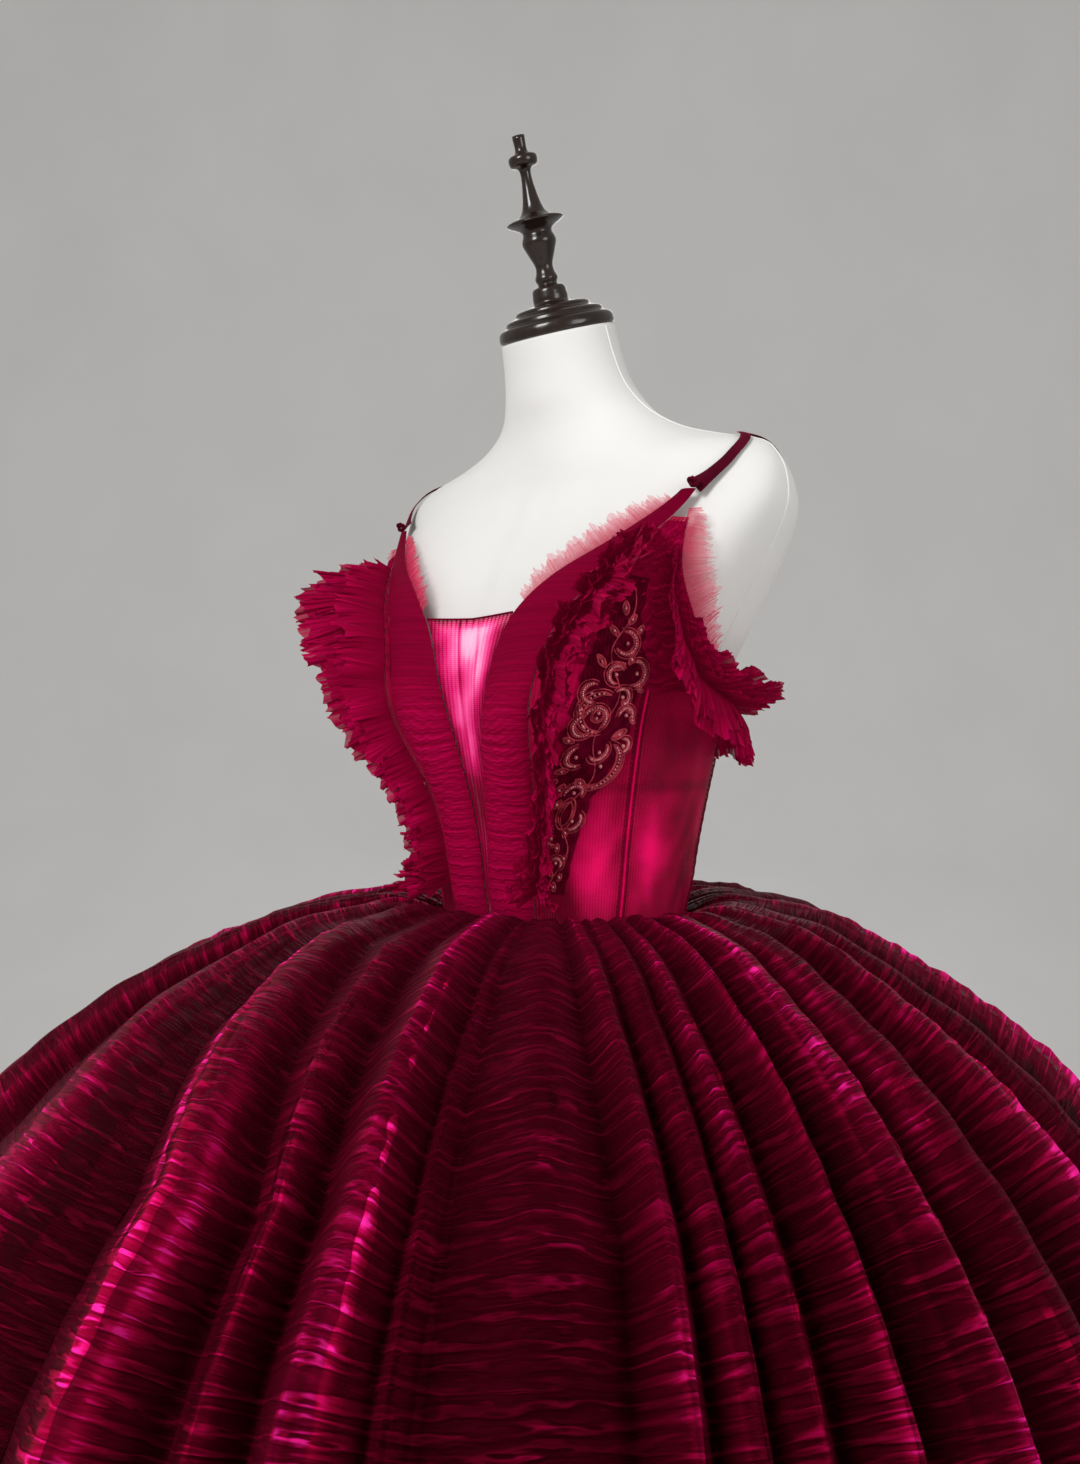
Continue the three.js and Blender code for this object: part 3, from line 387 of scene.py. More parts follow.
def dress(obj, material, nodes=()):
    """Give a piece its material and body, and hide the solids it stands for."""
    obj.data.materials.append(material)
    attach(obj, "root")
    if nodes:
        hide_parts(*nodes)
    return obj


# Material making


class Nodes:
    """A small helper that adds and joins nodes in one tree."""

    def __init__(self, tree):
        self.tree = tree

    def add(self, kind, **settings):
        node = self.tree.nodes.new(kind)
        for name, value in settings.items():
            setattr(node, name, value)
        return node

    def join(self, source, target):
        self.tree.links.new(source, target)

    def feed(self, socket, value):
        if isinstance(value, bpy.types.NodeSocket):
            self.join(value, socket)
        else:
            socket.default_value = value

    def maths(self, operation, *values):
        node = self.add("ShaderNodeMath", operation=operation)
        for socket, value in zip(node.inputs, values):
            self.feed(socket, value)
        return node.outputs[0]

    def plus(self, first, second):
        return self.maths("ADD", first, second)

    def times(self, first, second):
        return self.maths("MULTIPLY", first, second)

    def wave(self, along, period):
        """A sine wave of one period along an axis."""
        return self.maths("SINE", self.times(self.maths("DIVIDE", along, period), FULL_TURN))

    def remap(self, value, low, high, to_low=0.0, to_high=1.0):
        node = self.add("ShaderNodeMapRange")
        for name, number in (("Value", value), ("From Min", low), ("From Max", high),
                             ("To Min", to_low), ("To Max", to_high)):
            self.feed(node.inputs[name], number)
        return node.outputs["Result"]

    def between(self, share, first, second):
        """A number that runs from the first to the second as the share runs from 0 to 1."""
        return self.remap(share, 0.0, 1.0, first, second)

    def mix(self, share, first, second):
        node = self.add("ShaderNodeMix", data_type="RGBA")
        self.feed(node.inputs["Factor"], share)
        self.feed(node.inputs["A"], first)
        self.feed(node.inputs["B"], second)
        return node.outputs["Result"]

    def noise(self, vector, scale, detail=3.0, roughness=0.55):
        node = self.add("ShaderNodeTexNoise")
        self.join(vector, node.inputs["Vector"])
        node.inputs["Scale"].default_value = scale
        node.inputs["Detail"].default_value = detail
        node.inputs["Roughness"].default_value = roughness
        return node.outputs["Fac"]

    def place(self, name, **values):
        node = self.add("ShaderNodeGroup")
        node.node_tree = bpy.data.node_groups[name]
        for socket, value in values.items():
            self.feed(node.inputs[socket.replace("_", " ")], value)
        return node.outputs


def effect_group(name, inputs, outputs):
    """An empty effect with named sockets: inputs are (name, kind, default)."""
    tree = bpy.data.node_groups.new(name, "ShaderNodeTree")
    for socket_name, kind, default in inputs:
        socket = tree.interface.new_socket(name=socket_name, in_out="INPUT", socket_type=kind)
        if default is not None:
            socket.default_value = default
    for socket_name, kind in outputs:
        tree.interface.new_socket(name=socket_name, in_out="OUTPUT", socket_type=kind)
    nodes = Nodes(tree)
    return nodes, nodes.add("NodeGroupInput").outputs, nodes.add("NodeGroupOutput").inputs


# Ribs, threads and pleats of the cloths, in mm; ribs also wander from their lines
BROAD_RIBS = {"Spacing": 11.0, "Wander": 3.2}
FINE_RIBS = {"Spacing": 4.1, "Wander": 7.0}
MESH_THREADS = {"Across": 2.6, "Along": 1.5}
JERSEY_THREADS = {"Across": 0.9, "Along": 1.1}
TULLE_STREAKS = {"Spacing": 1.5}
CRIMSON_SHINE = (1.0, 0.05, 0.24, 1)
# Painted light: sheer cloth glows faintly in its own colour, standing for light that it lets through from
# behind
SHEER_GLOW = 0.26
FLOAT = "NodeSocketFloat"
VECTOR = "NodeSocketVector"


def cloth_axes(nodes, vector):
    split = nodes.add("ShaderNodeSeparateXYZ")
    nodes.join(vector, split.inputs[0])
    return split.outputs


def make_crinkle():
    """Fine ribs across the cloth that wander, thicken and break up."""
    nodes, given, result = effect_group(
        "organza crinkle",
        [("Cloth", VECTOR, None), ("Spacing", FLOAT, 5.0), ("Wander", FLOAT, 2.6)],
        [("Height", FLOAT), ("Line", FLOAT)])
    axes = cloth_axes(nodes, given["Cloth"])
    stretch = nodes.add("ShaderNodeVectorMath", operation="MULTIPLY")
    nodes.join(given["Cloth"], stretch.inputs[0])
    stretch.inputs[1].default_value = (0.009, 0.05, 0)
    drift = nodes.noise(stretch.outputs[0], 1.0, 3.0, 0.5)
    fine = nodes.noise(stretch.outputs[0], 4.0, 2.0, 0.5)
    shift = nodes.times(nodes.maths("SUBTRACT", drift, 0.5), given["Wander"])
    small = nodes.times(nodes.maths("SUBTRACT", fine, 0.5), 1.1)
    turns = nodes.maths("DIVIDE", axes[1], given["Spacing"])
    angle = nodes.times(nodes.plus(nodes.plus(turns, shift), small), FULL_TURN)
    wave = nodes.maths("SINE", angle)
    strength = nodes.remap(nodes.noise(stretch.outputs[0], 2.3, 2.0), 0.3, 0.7, 0.35, 1.0)
    height = nodes.times(wave, strength)
    nodes.join(height, result["Height"])
    nodes.join(nodes.remap(height, 0.1, 0.95), result["Line"])


def make_weave():
    """A fine woven or knitted mesh of threads each way."""
    nodes, given, result = effect_group(
        "fine mesh weave",
        [("Cloth", VECTOR, None), ("Across", FLOAT, 1.2), ("Along", FLOAT, 0.8)],
        [("Height", FLOAT), ("Thread", FLOAT)])
    axes = cloth_axes(nodes, given["Cloth"])
    across = nodes.wave(axes[0], given["Across"])
    along = nodes.wave(axes[1], given["Along"])
    height = nodes.maths("MAXIMUM", across, along)
    nodes.join(height, result["Height"])
    nodes.join(nodes.remap(height, -0.2, 0.9), result["Thread"])


def make_pleats():
    """Streaks that run from a gathered root to the free edge of tulle."""
    nodes, given, result = effect_group(
        "tulle pleat streaks",
        [("Cloth", VECTOR, None), ("Spacing", FLOAT, 2.2)],
        [("Height", FLOAT), ("Streak", FLOAT)])
    stretch = nodes.add("ShaderNodeVectorMath", operation="MULTIPLY")
    nodes.join(given["Cloth"], stretch.inputs[0])
    stretch.inputs[1].default_value = (0.02, 1.0, 0)
    spread = nodes.add("ShaderNodeVectorMath", operation="SCALE")
    nodes.join(stretch.outputs[0], spread.inputs[0])
    nodes.join(nodes.maths("DIVIDE", 1.0, given["Spacing"]), spread.inputs["Scale"])
    streak = nodes.noise(spread.outputs[0], 1.0, 4.0, 0.65)
    nodes.join(streak, result["Height"])
    nodes.join(nodes.remap(streak, 0.35, 0.65), result["Streak"])


def make_mottle():
    """Slow uneven patches of light and dark over a surface."""
    nodes, given, result = effect_group(
        "uneven tone",
        [("Place", VECTOR, None), ("Scale", FLOAT, 8.0)],
        [("Tone", FLOAT)])
    node = nodes.add("ShaderNodeTexNoise")
    nodes.join(given["Place"], node.inputs["Vector"])
    nodes.join(given["Scale"], node.inputs["Scale"])
    node.inputs["Detail"].default_value = 5.0
    nodes.join(nodes.remap(node.outputs["Fac"], 0.3, 0.7), result["Tone"])


def make_wood_grain():
    """Long dark streaks along turned wood."""
    nodes, given, result = effect_group(
        "turned wood grain", [("Place", VECTOR, None)], [("Grain", FLOAT)])
    stretch = nodes.add("ShaderNodeVectorMath", operation="MULTIPLY")
    nodes.join(given["Place"], stretch.inputs[0])
    stretch.inputs[1].default_value = (90, 90, 6)
    nodes.join(nodes.noise(stretch.outputs[0], 1.0, 6.0, 0.6), result["Grain"])


for make_effect in (make_crinkle, make_weave, make_pleats, make_mottle, make_wood_grain):
    make_effect()


def new_material(name, roughness, sheen=0.0, tint=(1, 1, 1, 1), coat=0.0, specular=0.5, metallic=0.0):
    """A material whose shine and sheen both take one tint."""
    material = bpy.data.materials.new(name)
    material.use_nodes = True
    nodes = Nodes(material.node_tree)
    shader = material.node_tree.nodes["Principled BSDF"]
    shader.inputs["Roughness"].default_value = roughness
    shader.inputs["Sheen Weight"].default_value = sheen
    shader.inputs["Sheen Roughness"].default_value = 0.35
    shader.inputs["Sheen Tint"].default_value = tint
    shader.inputs["Specular Tint"].default_value = tint
    shader.inputs["Emission Strength"].default_value = 0.0
    shader.inputs["Coat Weight"].default_value = coat
    shader.inputs["Metallic"].default_value = metallic
    shader.inputs["Specular IOR Level"].default_value = specular
    return material, nodes, shader.inputs


def colour_steps(nodes, value, steps):
    """A colour that runs through (place, colour) steps."""
    ramp = nodes.add("ShaderNodeValToRGB")
    nodes.join(value, ramp.inputs["Fac"])
    elements = ramp.color_ramp.elements
    elements[0].position, elements[0].color = steps[0]
    elements[1].position, elements[1].color = steps[-1]
    for position, colour in steps[1:-1]:
        elements.new(position).color = colour
    return ramp.outputs["Color"]


def see_through(nodes, alpha, facing_gain):
    """Thin cloth hides more of what is behind it where it is seen edge on."""
    edge = nodes.add("ShaderNodeLayerWeight")
    edge.inputs["Blend"].default_value = 0.35
    more = nodes.times(edge.outputs["Facing"], facing_gain)
    return nodes.maths("MINIMUM", nodes.plus(alpha, more), 1.0)


def cloth_vector(nodes):
    return nodes.add("ShaderNodeAttribute", attribute_name="cloth").outputs["Vector"]


def scene_place(nodes):
    return nodes.add("ShaderNodeNewGeometry").outputs["Position"]


def uneven_tone(nodes, scale):
    """Patches of light and dark fixed in the scene."""
    return nodes.place("uneven tone", Place=scene_place(nodes), Scale=scale)["Tone"]


def glow_through(nodes, shader, light, steps):
    """Sheer cloth has its own colour and a faint painted glow in that colour, standing for light let through
    from behind.
    """
    colour = colour_steps(nodes, light, steps)
    nodes.join(colour, shader["Base Color"])
    nodes.join(colour, shader["Emission Color"])
    shader["Emission Strength"].default_value = SHEER_GLOW


def bump(nodes, height, distance_mm, strength, target):
    node = nodes.add("ShaderNodeBump")
    nodes.join(height, node.inputs["Height"])
    node.inputs["Distance"].default_value = distance_mm * MM
    node.inputs["Strength"].default_value = strength
    nodes.join(node.outputs["Normal"], target)


def organza_material(name, steps, alpha, alpha_rib, rib_light=0.8):
    """Crinkled organza: painted shade near black in the fold valleys, painted magenta highlights on the crest
    lines and rib tops.
    """
    material, nodes, shader = new_material(name, 0.5, 0.05, CRIMSON_SHINE, specular=0.05)
    cloth = cloth_vector(nodes)
    ribs = nodes.place("organza crinkle", Cloth=cloth, **BROAD_RIBS)
    fine = nodes.place("organza crinkle", Cloth=cloth, **FINE_RIBS)
    tone = uneven_tone(nodes, 7.0)
    crest = cloth_axes(nodes, cloth)[2]
    fine_line = nodes.times(fine["Line"], 0.25)
    line = nodes.plus(nodes.times(ribs["Line"], 0.8), fine_line)
    # Painted light and shade: the fold's painted light, raised on the rib tops and lowered between them, runs
    # the colour from near black to magenta
    light = nodes.times(crest, nodes.between(tone, 0.7, 1.25))
    ribbed = nodes.remap(line, 0.0, 0.8, 1.0 - 0.5 * rib_light, 1.0 + 0.5 * rib_light)
    light = nodes.times(light, ribbed)
    light = nodes.plus(light, nodes.times(nodes.maths("POWER", line, 2.0), 0.2))
    nodes.join(colour_steps(nodes, light, steps), shader["Base Color"])
    body = nodes.between(line, alpha, alpha_rib)
    nodes.join(see_through(nodes, body, 1.6), shader["Alpha"])
    height = nodes.plus(ribs["Height"], nodes.times(fine["Height"], 0.35))
    bump(nodes, height, 1.5, 0.85, shader["Normal"])
    return material


def mesh_material(name, steps, alpha):
    """Translucent bodice mesh with a fine level weave, painted bright where it lies on the white form."""
    material, nodes, shader = new_material(name, 0.6, 0.1, CRIMSON_SHINE, specular=0.05)
    cloth = cloth_vector(nodes)
    weave = nodes.place("fine mesh weave", Cloth=cloth, **MESH_THREADS)
    patches = nodes.between(uneven_tone(nodes, 22.0), -0.16, 0.16)
    light = nodes.plus(cloth_axes(nodes, cloth)[2], patches)
    light = nodes.plus(light, nodes.between(weave["Thread"], 0.1, -0.1))
    glow_through(nodes, shader, light, steps)
    nodes.join(nodes.between(weave["Thread"], alpha - 0.12, alpha + 0.06), shader["Alpha"])
    bump(nodes, weave["Height"], 0.25, 0.5, shader["Normal"])
    return material


def tulle_material(name, steps, alpha_low, alpha_high):
    """Finely pleated tulle: denser at the root and darker there with painted shade, thinner at the ragged
    edge, with painted light and shade along its pleat streaks.
    """
    material, nodes, shader = new_material(name, 0.7, 0.06, CRIMSON_SHINE, specular=0.03)
    cloth = cloth_vector(nodes)
    pleats = nodes.place("tulle pleat streaks", Cloth=cloth, **TULLE_STREAKS)
    edge = cloth_axes(nodes, cloth)[2]
    streaked = nodes.between(pleats["Streak"], 0.45, 1.2)
    # Painted light and shade: each piece's painted light value, lighter on the raised pleat streaks and
    # darker between them
    light = nodes.times(nodes.between(edge, 0.1, 0.9), streaked)
    glow_through(nodes, shader, light, steps)
    streak = nodes.between(pleats["Streak"], alpha_low, alpha_high)
    thin = nodes.between(edge, 0.3, 0.0)
    nodes.join(see_through(nodes, nodes.plus(streak, thin), 0.2), shader["Alpha"])
    bump(nodes, pleats["Height"], 0.8, 0.6, shader["Normal"])
    return material


def toned_material(name, colours, scale, grain=None, depth_mm=0.0, strength=0.0, **looks):
    """A material that drifts between two colours, with a fine bumpy grain where one is given."""
    material, nodes, shader = new_material(name, **looks)
    nodes.join(nodes.mix(uneven_tone(nodes, scale), *colours), shader["Base Color"])
    if grain:
        bump(nodes, uneven_tone(nodes, grain), depth_mm, strength, shader["Normal"])
    return material


def form_material():
    material, nodes, shader = new_material("jersey form cover", 0.8, sheen=0.15)
    cloth = cloth_vector(nodes)
    weave = nodes.place("fine mesh weave", Cloth=cloth, **JERSEY_THREADS)
    colour = nodes.mix(uneven_tone(nodes, 6.0), (0.66, 0.655, 0.635, 1), (0.72, 0.715, 0.70, 1))
    nodes.join(colour, shader["Base Color"])
    bump(nodes, weave["Height"], 0.12, 0.35, shader["Normal"])
    return material


def wood_material():
    material, nodes, shader = new_material("dark turned wood", 0.2, coat=0.2, specular=0.35)
    grain = nodes.place("turned wood grain", Place=scene_place(nodes))
    colour = nodes.mix(grain["Grain"], (0.003, 0.0015, 0.001, 1), (0.022, 0.010, 0.006, 1))
    nodes.join(colour, shader["Base Color"])
    nodes.join(nodes.remap(grain["Grain"], 0.3, 0.8, 0.16, 0.34), shader["Roughness"])
    bump(nodes, grain["Grain"], 0.15, 0.25, shader["Normal"])
    return material


VELVET = toned_material(
    "wine velvet", ((0.035, 0.001, 0.006, 1), (0.075, 0.003, 0.014, 1)), 40.0, 1400.0, 0.3, 0.5,
    roughness=0.85, sheen=0.4, tint=(0.7, 0.02, 0.12, 1), specular=0.15)
CORD = toned_material(
    "copper-red cord", ((0.14, 0.003, 0.016, 1), (0.62, 0.06, 0.10, 1)), 160.0, 900.0, 0.4, 0.7,
    roughness=0.34, sheen=0.1, tint=(1, 0.28, 0.32, 1))
BEADS = toned_material(
    "garnet beads", ((0.30, 0.010, 0.035, 1), (0.90, 0.30, 0.34, 1)), 260.0,
    roughness=0.12, coat=0.6, metallic=0.25)
PAPER = toned_material(
    "pale studio paper", ((0.768, 0.7584, 0.7488, 1), (0.80, 0.79, 0.78, 1)), 2.0, roughness=0.9)
MESH = mesh_material("crimson mesh", [
    (0.0, (0.07, 0.0004, 0.008, 1)), (0.4, (0.22, 0.0008, 0.022, 1)), (1.0, (0.72, 0.002, 0.10, 1))], 0.94)
NET = mesh_material("sheer net", [
    (0.0, (0.14, 0.0005, 0.015, 1)), (0.3, (0.55, 0.004, 0.10, 1)),
    (0.65, (0.82, 0.08, 0.30, 1)), (1.0, (0.93, 0.42, 0.60, 1))], 0.95)
TULLE = tulle_material("wine tulle", [
    (0.0, (0.08, 0.0003, 0.009, 1)), (0.5, (0.19, 0.0007, 0.022, 1)),
    (1.0, (0.38, 0.0012, 0.055, 1))], 0.72, 1.0)
RUCHED = tulle_material("ruched tulle", [
    (0.0, (0.08, 0.0003, 0.009, 1)), (0.5, (0.21, 0.0007, 0.025, 1)),
    (1.0, (0.40, 0.0014, 0.058, 1))], 1.0, 1.0)
PALE_TULLE = tulle_material("pale tulle", [
    (0.0, (0.30, 0.002, 0.035, 1)), (0.5, (0.50, 0.03, 0.085, 1)), (1.0, (0.66, 0.14, 0.20, 1))], 0.0, 0.5)
ORGANZA = organza_material("crinkled organza", [
    (0.0, (0.006, 0.0001, 0.0006, 1)), (0.2, (0.055, 0.0002, 0.005, 1)), (0.5, (0.27, 0.0009, 0.026, 1)),
    (0.8, (0.62, 0.003, 0.11, 1)), (1.0, (1.0, 0.02, 0.34, 1))], 0.98, 1.0)
VEIL = organza_material("organza veil", [
    (0.0, (0.03, 0.0001, 0.003, 1)), (0.25, (0.11, 0.0004, 0.012, 1)),
    (0.6, (0.36, 0.0015, 0.055, 1)), (1.0, (0.95, 0.015, 0.30, 1))], 0.1, 0.5)
UNDER = organza_material("underskirt layers", [
    (0.0, (0.012, 0.0001, 0.0015, 1)), (0.5, (0.06, 0.0003, 0.007, 1)),
    (1.0, (0.2, 0.001, 0.03, 1))], 0.98, 1.0)
LACE_GROUND = mesh_material("lace ground", [
    (0.0, (0.03, 0.0003, 0.004, 1)), (0.5, (0.11, 0.001, 0.014, 1)), (1.0, (0.26, 0.004, 0.04, 1))], 0.86)
FORM = form_material()
WOOD = wood_material()


# Camera, light and floor


def camera_axes():
    """Level directions away from the camera and to its right."""
    turn = math.radians(CAMERA_TURN)
    return np.array([-math.sin(turn), math.cos(turn), 0]), np.array([math.cos(turn), math.sin(turn), 0])


def make_camera():
    forward, rightward = camera_axes()
    place = -forward * CAMERA_DISTANCE - rightward * CAMERA_SIDESTEP
    place[2] = WAIST_HEIGHT + CAMERA_ABOVE_WAIST
    data = bpy.data.cameras.new("camera")
    data.lens = LENS_MM
    data.sensor_width = SENSOR_MM
    data.sensor_fit = "AUTO"
    data.clip_start = 0.05
    camera = bpy.data.objects.new("camera", data)
    camera.location = place * MM
    camera.rotation_euler = (math.radians(90), 0, math.radians(CAMERA_TURN))
    bpy.context.scene.collection.objects.link(camera)
    bpy.context.scene.camera = camera


def area_light(name, size, power, place, aim):
    data = bpy.data.lights.new(name, "AREA")
    data.size = size
    data.energy = power
    lamp = bpy.data.objects.new(name, data)
    lamp.location = place
    direction = np.array(aim, float) - np.array(place, float)
    flat = math.hypot(direction[0], direction[1])
    lamp.rotation_euler = (math.atan2(flat, -direction[2]), 0, math.atan2(-direction[0], direction[1]))
    bpy.context.scene.collection.objects.link(lamp)


def make_studio():
    world = bpy.data.worlds.new("studio")
    bpy.context.scene.world = world
    world.use_nodes = True
    sky = world.node_tree.nodes["Background"].inputs
    sky["Color"].default_value = SKY_COLOUR
    sky["Strength"].default_value = SKY_STRENGTH
    for name, light in LIGHTS.items():
        area_light(name, *light)
    bpy.context.scene.view_settings.view_transform = "Standard"


def make_floor():
    """Studio paper that lies level and bends up into a wall behind the gown."""
    half = 9000
    radius = 2500
    bend_starts = 2600
    wall_top = 7000
    bend = [(math.sin(a) * radius, radius - math.cos(a) * radius)
            for a in np.linspace(0, math.pi / 2, 16)]
    profile = [(-half, 0.0)] + [(bend_starts + y, z) for y, z in bend] + [(bend_starts + radius, wall_top)]
    forward, rightward = camera_axes()
    grid = np.array([[forward * y + rightward * x + np.array([0, 0, z]) for x in (-half, half)]
                     for y, z in profile])
    floor = new_object("studio_floor", grid.reshape(-1, 3), grid_faces(len(profile), 2))
    floor.data.materials.append(PAPER)


# The dress form and its stand


def make_form():
    heights = np.concatenate([np.linspace(-200, 150, 40), np.linspace(158, 380, 60),
                              np.linspace(383, 510, 50)])
    turns = np.linspace(0, 360, 160, endpoint=False)
    grid = form_point(turns[None, :], heights[:, None])
    spread = np.array([1.0, 0.55, 0.0])
    ends = []
    for row in (grid[0], grid[-1]):
        centre = row.mean(axis=0)
        ends.append([centre + (row - centre) * share for share in spread])
    rows = np.concatenate([np.array(ends[0][::-1])[:2], grid, np.array(ends[1])[1:]])
    down = np.linspace(0, 900, len(rows))
    place = cloth_place(turns[None, :] * 2.6, down[:, None], 0)
    body = grids_object("form_body", [(rows, place)], is_ring=True)
    dress(body, FORM, ["form_torso"])


def piping_points():
    """The raised side seam: from the neck along the shoulder ridge and down the arm cap."""
    seam = np.concatenate([np.linspace(508, 400, 40), np.linspace(398, 342, 24),
                           np.linspace(340, -195, 60)])
    return form_point(94.0, seam), surface_normal(form_point, np.full(seam.shape, 94.0), seam)


def tube_grid(path, outward, radius, sides=8):
    """Rings of a round cord along a path; outward gives the cord's up side."""
    along = unit(np.gradient(path, axis=0))
    out = unit(outward - along * np.sum(outward * along, axis=-1, keepdims=True))
    side = np.cross(along, out)
    angles = np.linspace(0, FULL_TURN, sides, endpoint=False)
    radius = np.broadcast_to(np.asarray(radius, float), len(path))
    ring = np.cos(angles)[None, :, None] * out[:, None, :] + np.sin(angles)[None, :, None] * side[:, None, :]
    return path[:, None, :] + ring * radius[:, None, None]


def tubes_object(name, tubes):
    grids = []
    for tube in tubes:
        count, sides = tube.shape[:2]
        grids.append((tube, cloth_place(np.arange(sides)[None, :], np.arange(count)[:, None], 0.0)))
    return grids_object(name, grids, is_ring=True)


def make_piping():
    path, outward = piping_points()
    tubes = [tube_grid(on_side(path, s), on_side(outward, s), 0.9) for s in (1, -1)]
    dress(tubes_object("form_side_piping", tubes), FORM)


def turned_rows(profile, sides, fine):
    """Rings of a turned piece from its profile, with the profile rounded between its rows."""
    heights = np.asarray(profile["height"], float)
    radii = np.asarray(profile["radius"], float)
    steps = np.linspace(0, len(heights) - 1, (len(heights) - 1) * fine + 1)
    index = list(range(len(heights)))
    table = {"index": index, "height": heights, "radius": radii}
    h = table_value(table, "index", steps, "height")
    r = np.maximum(table_value(table, "index", steps, "radius"), 2.0)
    h = np.concatenate([[h[0]], h, [h[-1]]])
    r = np.concatenate([[0.01], r, [0.01]])
    angles = np.linspace(0, FULL_TURN, sides, endpoint=False)
    return np.stack([r[:, None] * np.cos(angles), r[:, None] * np.sin(angles),
                     np.broadcast_to(h[:, None], (len(h), sides))], -1)


def turned_object(name, rows, node):
    place = cloth_place(0, 0, np.zeros(rows.shape[:2]))
    dress(grids_object(name, [(rows, place)], is_ring=True), WOOD, [node])


def make_wood():
    lean = math.radians(NECK_LEAN)
    rows = turned_rows(FINIAL_PROFILE, 64, 5)
    tipped = np.stack([rows[..., 0],
                       rows[..., 1] * math.cos(lean) - rows[..., 2] * math.sin(lean),
                       rows[..., 1] * math.sin(lean) + rows[..., 2] * math.cos(lean)], -1)
    seat = np.array([0, FORM_RINGS["centre"][-1] - 0.3 * math.sin(lean),
                     WAIST_HEIGHT + FORM_TOP + 0.3 * math.cos(lean)])
    turned_object("turned_finial", tipped + seat, "neck_finial")
    underside = WAIST_HEIGHT + FORM_BOTTOM
    pole = {"height": [12.3, 34, 42, underside - 30, underside - 22, underside - 0.3],
            "radius": [26, 24, POLE_RADIUS, POLE_RADIUS, 30, 34]}
    turned_object("turned_pole", turned_rows(pole, 40, 1), "stand_pole")
    base = {"height": [0, 8, BASE_THICKNESS], "radius": [BASE_RADIUS, BASE_RADIUS, BASE_RADIUS - 6]}
    turned_object("turned_base", turned_rows(base, 96, 1), "stand_base")


# Bodice


def panel(name, side, turns, heights, lift):
    place = cloth_place(turns * 2.0, heights, form_glow(turns, heights))
    obj = sheet_object(f"bodice_{name}", side, bodice_point(turns, heights, lift), place)
    dress(obj, MESH, [f"{name}_panel_{side}"])


def wrinkles(turns, heights, seed, size):
    """Soft drag lines where the mesh is pulled over the form."""
    lean = 0.6 * np.sin(heights / 70 + seed)
    return size * np.sin(turns / 3.1 + lean * 2 + seed) * np.sin(heights / 46 + 0.7 * seed)


# Where the mesh lies close on the white form and is painted bright: middles, half sizes and painted light
GLOW_PATCHES = {"turn": [50, 74, 38], "z": [62, 62, 200], "turn_reach": [9, 9, 8], "z_reach": [52, 50, 50],
                "light": [0.62, 0.5, 0.22]}


def form_glow(turns, heights):
    """Painted light from the white form behind the mesh, in soft patches, with painted blotches of light and
    shade low down and a painted soft shadow across it at 118 mm.
    """
    glow = 0.34 + 0.06 * np.sin(heights / 23 + turns / 7)
    for middle, z, reach, z_reach, light in zip(*GLOW_PATCHES.values()):
        glow = glow + light * bell(turns, middle, reach) * bell(heights, z, 0.8 * z_reach)
    # Painted blotches of light and shade low on the panels
    blotch = np.sin(heights / 13 + 2.4 * np.sin(turns / 6)) * np.sin(turns / 4.3 + 1.7 * np.sin(heights / 21))
    glow = glow + 0.13 * blotch * bell(heights, 60, 70)
    # Painted soft shadow in a narrow band 118 mm above the waist
    return np.clip(glow - 0.16 * bell(heights, 118, 5), 0, 1)


def make_bodice(side):
    share = np.linspace(0, 1, PANEL_COLUMNS)[None, :]
    seam_top = BACK_TOP["z"][0]
    z = np.concatenate([np.linspace(BODICE_BOTTOM, seam_top, PANEL_ROWS),
                        np.linspace(seam_top + 1, FRONT_PANEL_TOP, 26)])[:, None]
    start = table_value(BAND_OUTER, "z", z, "turn") + SEAM_TURN
    end = np.where(z > seam_top, table_value(ARMHOLE, "z", z, "turn"), PRINCESS_SEAM) - SEAM_TURN
    turns = start + (end - start) * share
    heights = np.broadcast_to(z, turns.shape)
    panel("front", side, turns, heights, wrinkles(turns, heights, 1.3, 0.5))
    for name, first, last, seed in (("side", PRINCESS_SEAM, SIDE_SEAM, 2.2),
                                    ("back", SIDE_SEAM, CENTRE_BACK, 4.1)):
        around = np.linspace(first + SEAM_TURN, last - SEAM_TURN, PANEL_COLUMNS)[None, :]
        turns = np.broadcast_to(around, (PANEL_ROWS, PANEL_COLUMNS))
        top = table_value(BACK_TOP, "turn", turns[0], "z")[None, :]
        heights = BODICE_BOTTOM + (top - BODICE_BOTTOM) * np.linspace(0, 1, PANEL_ROWS)[:, None]
        panel(name, side, turns, heights, wrinkles(turns, heights, seed, 0.6))


def make_bust_gathers(side):
    """Finely gathered tulle over the bust, from the neckline band to the armhole."""
    v = np.linspace(0, 1, 130)[:, None]
    u = np.linspace(0, 1, 40)[None, :]
    low = 196 + 9 * np.sin(5 * u + 1) + 5 * np.sin(13 * u)
    heights = low + (FRONT_PANEL_TOP - 4 - low) * v
    start = table_value(BAND_OUTER, "z", heights, "turn") + 0.3
    end = table_value(ARMHOLE, "z", heights, "turn") - 0.5
    turns = start + (end - start) * u
    slant = heights - 34 * u + 5 * wander(u * 3 + v, 8)
    folds = np.sin(FULL_TURN * slant / 8.5 + 2.2 * wander(v * 3 + 0 * u, 15))
    folds = folds + 0.6 * np.sin(FULL_TURN * slant / 4.7 + 3 * u)
    lift = 1.0 + 0.55 * folds * np.clip(v * 6, 0, 1)
    grid = bodice_point(turns, heights, np.maximum(lift, 0.4))
    # Painted light and shade: lighter on the tops of the gathered folds, darker in their hollows
    accent = np.clip(0.42 + 0.22 * folds, 0, 1)
    obj = sheet_object("bust_gathers", side, grid, cloth_place(turns * 2, slant, accent))
    dress(obj, TULLE, ())


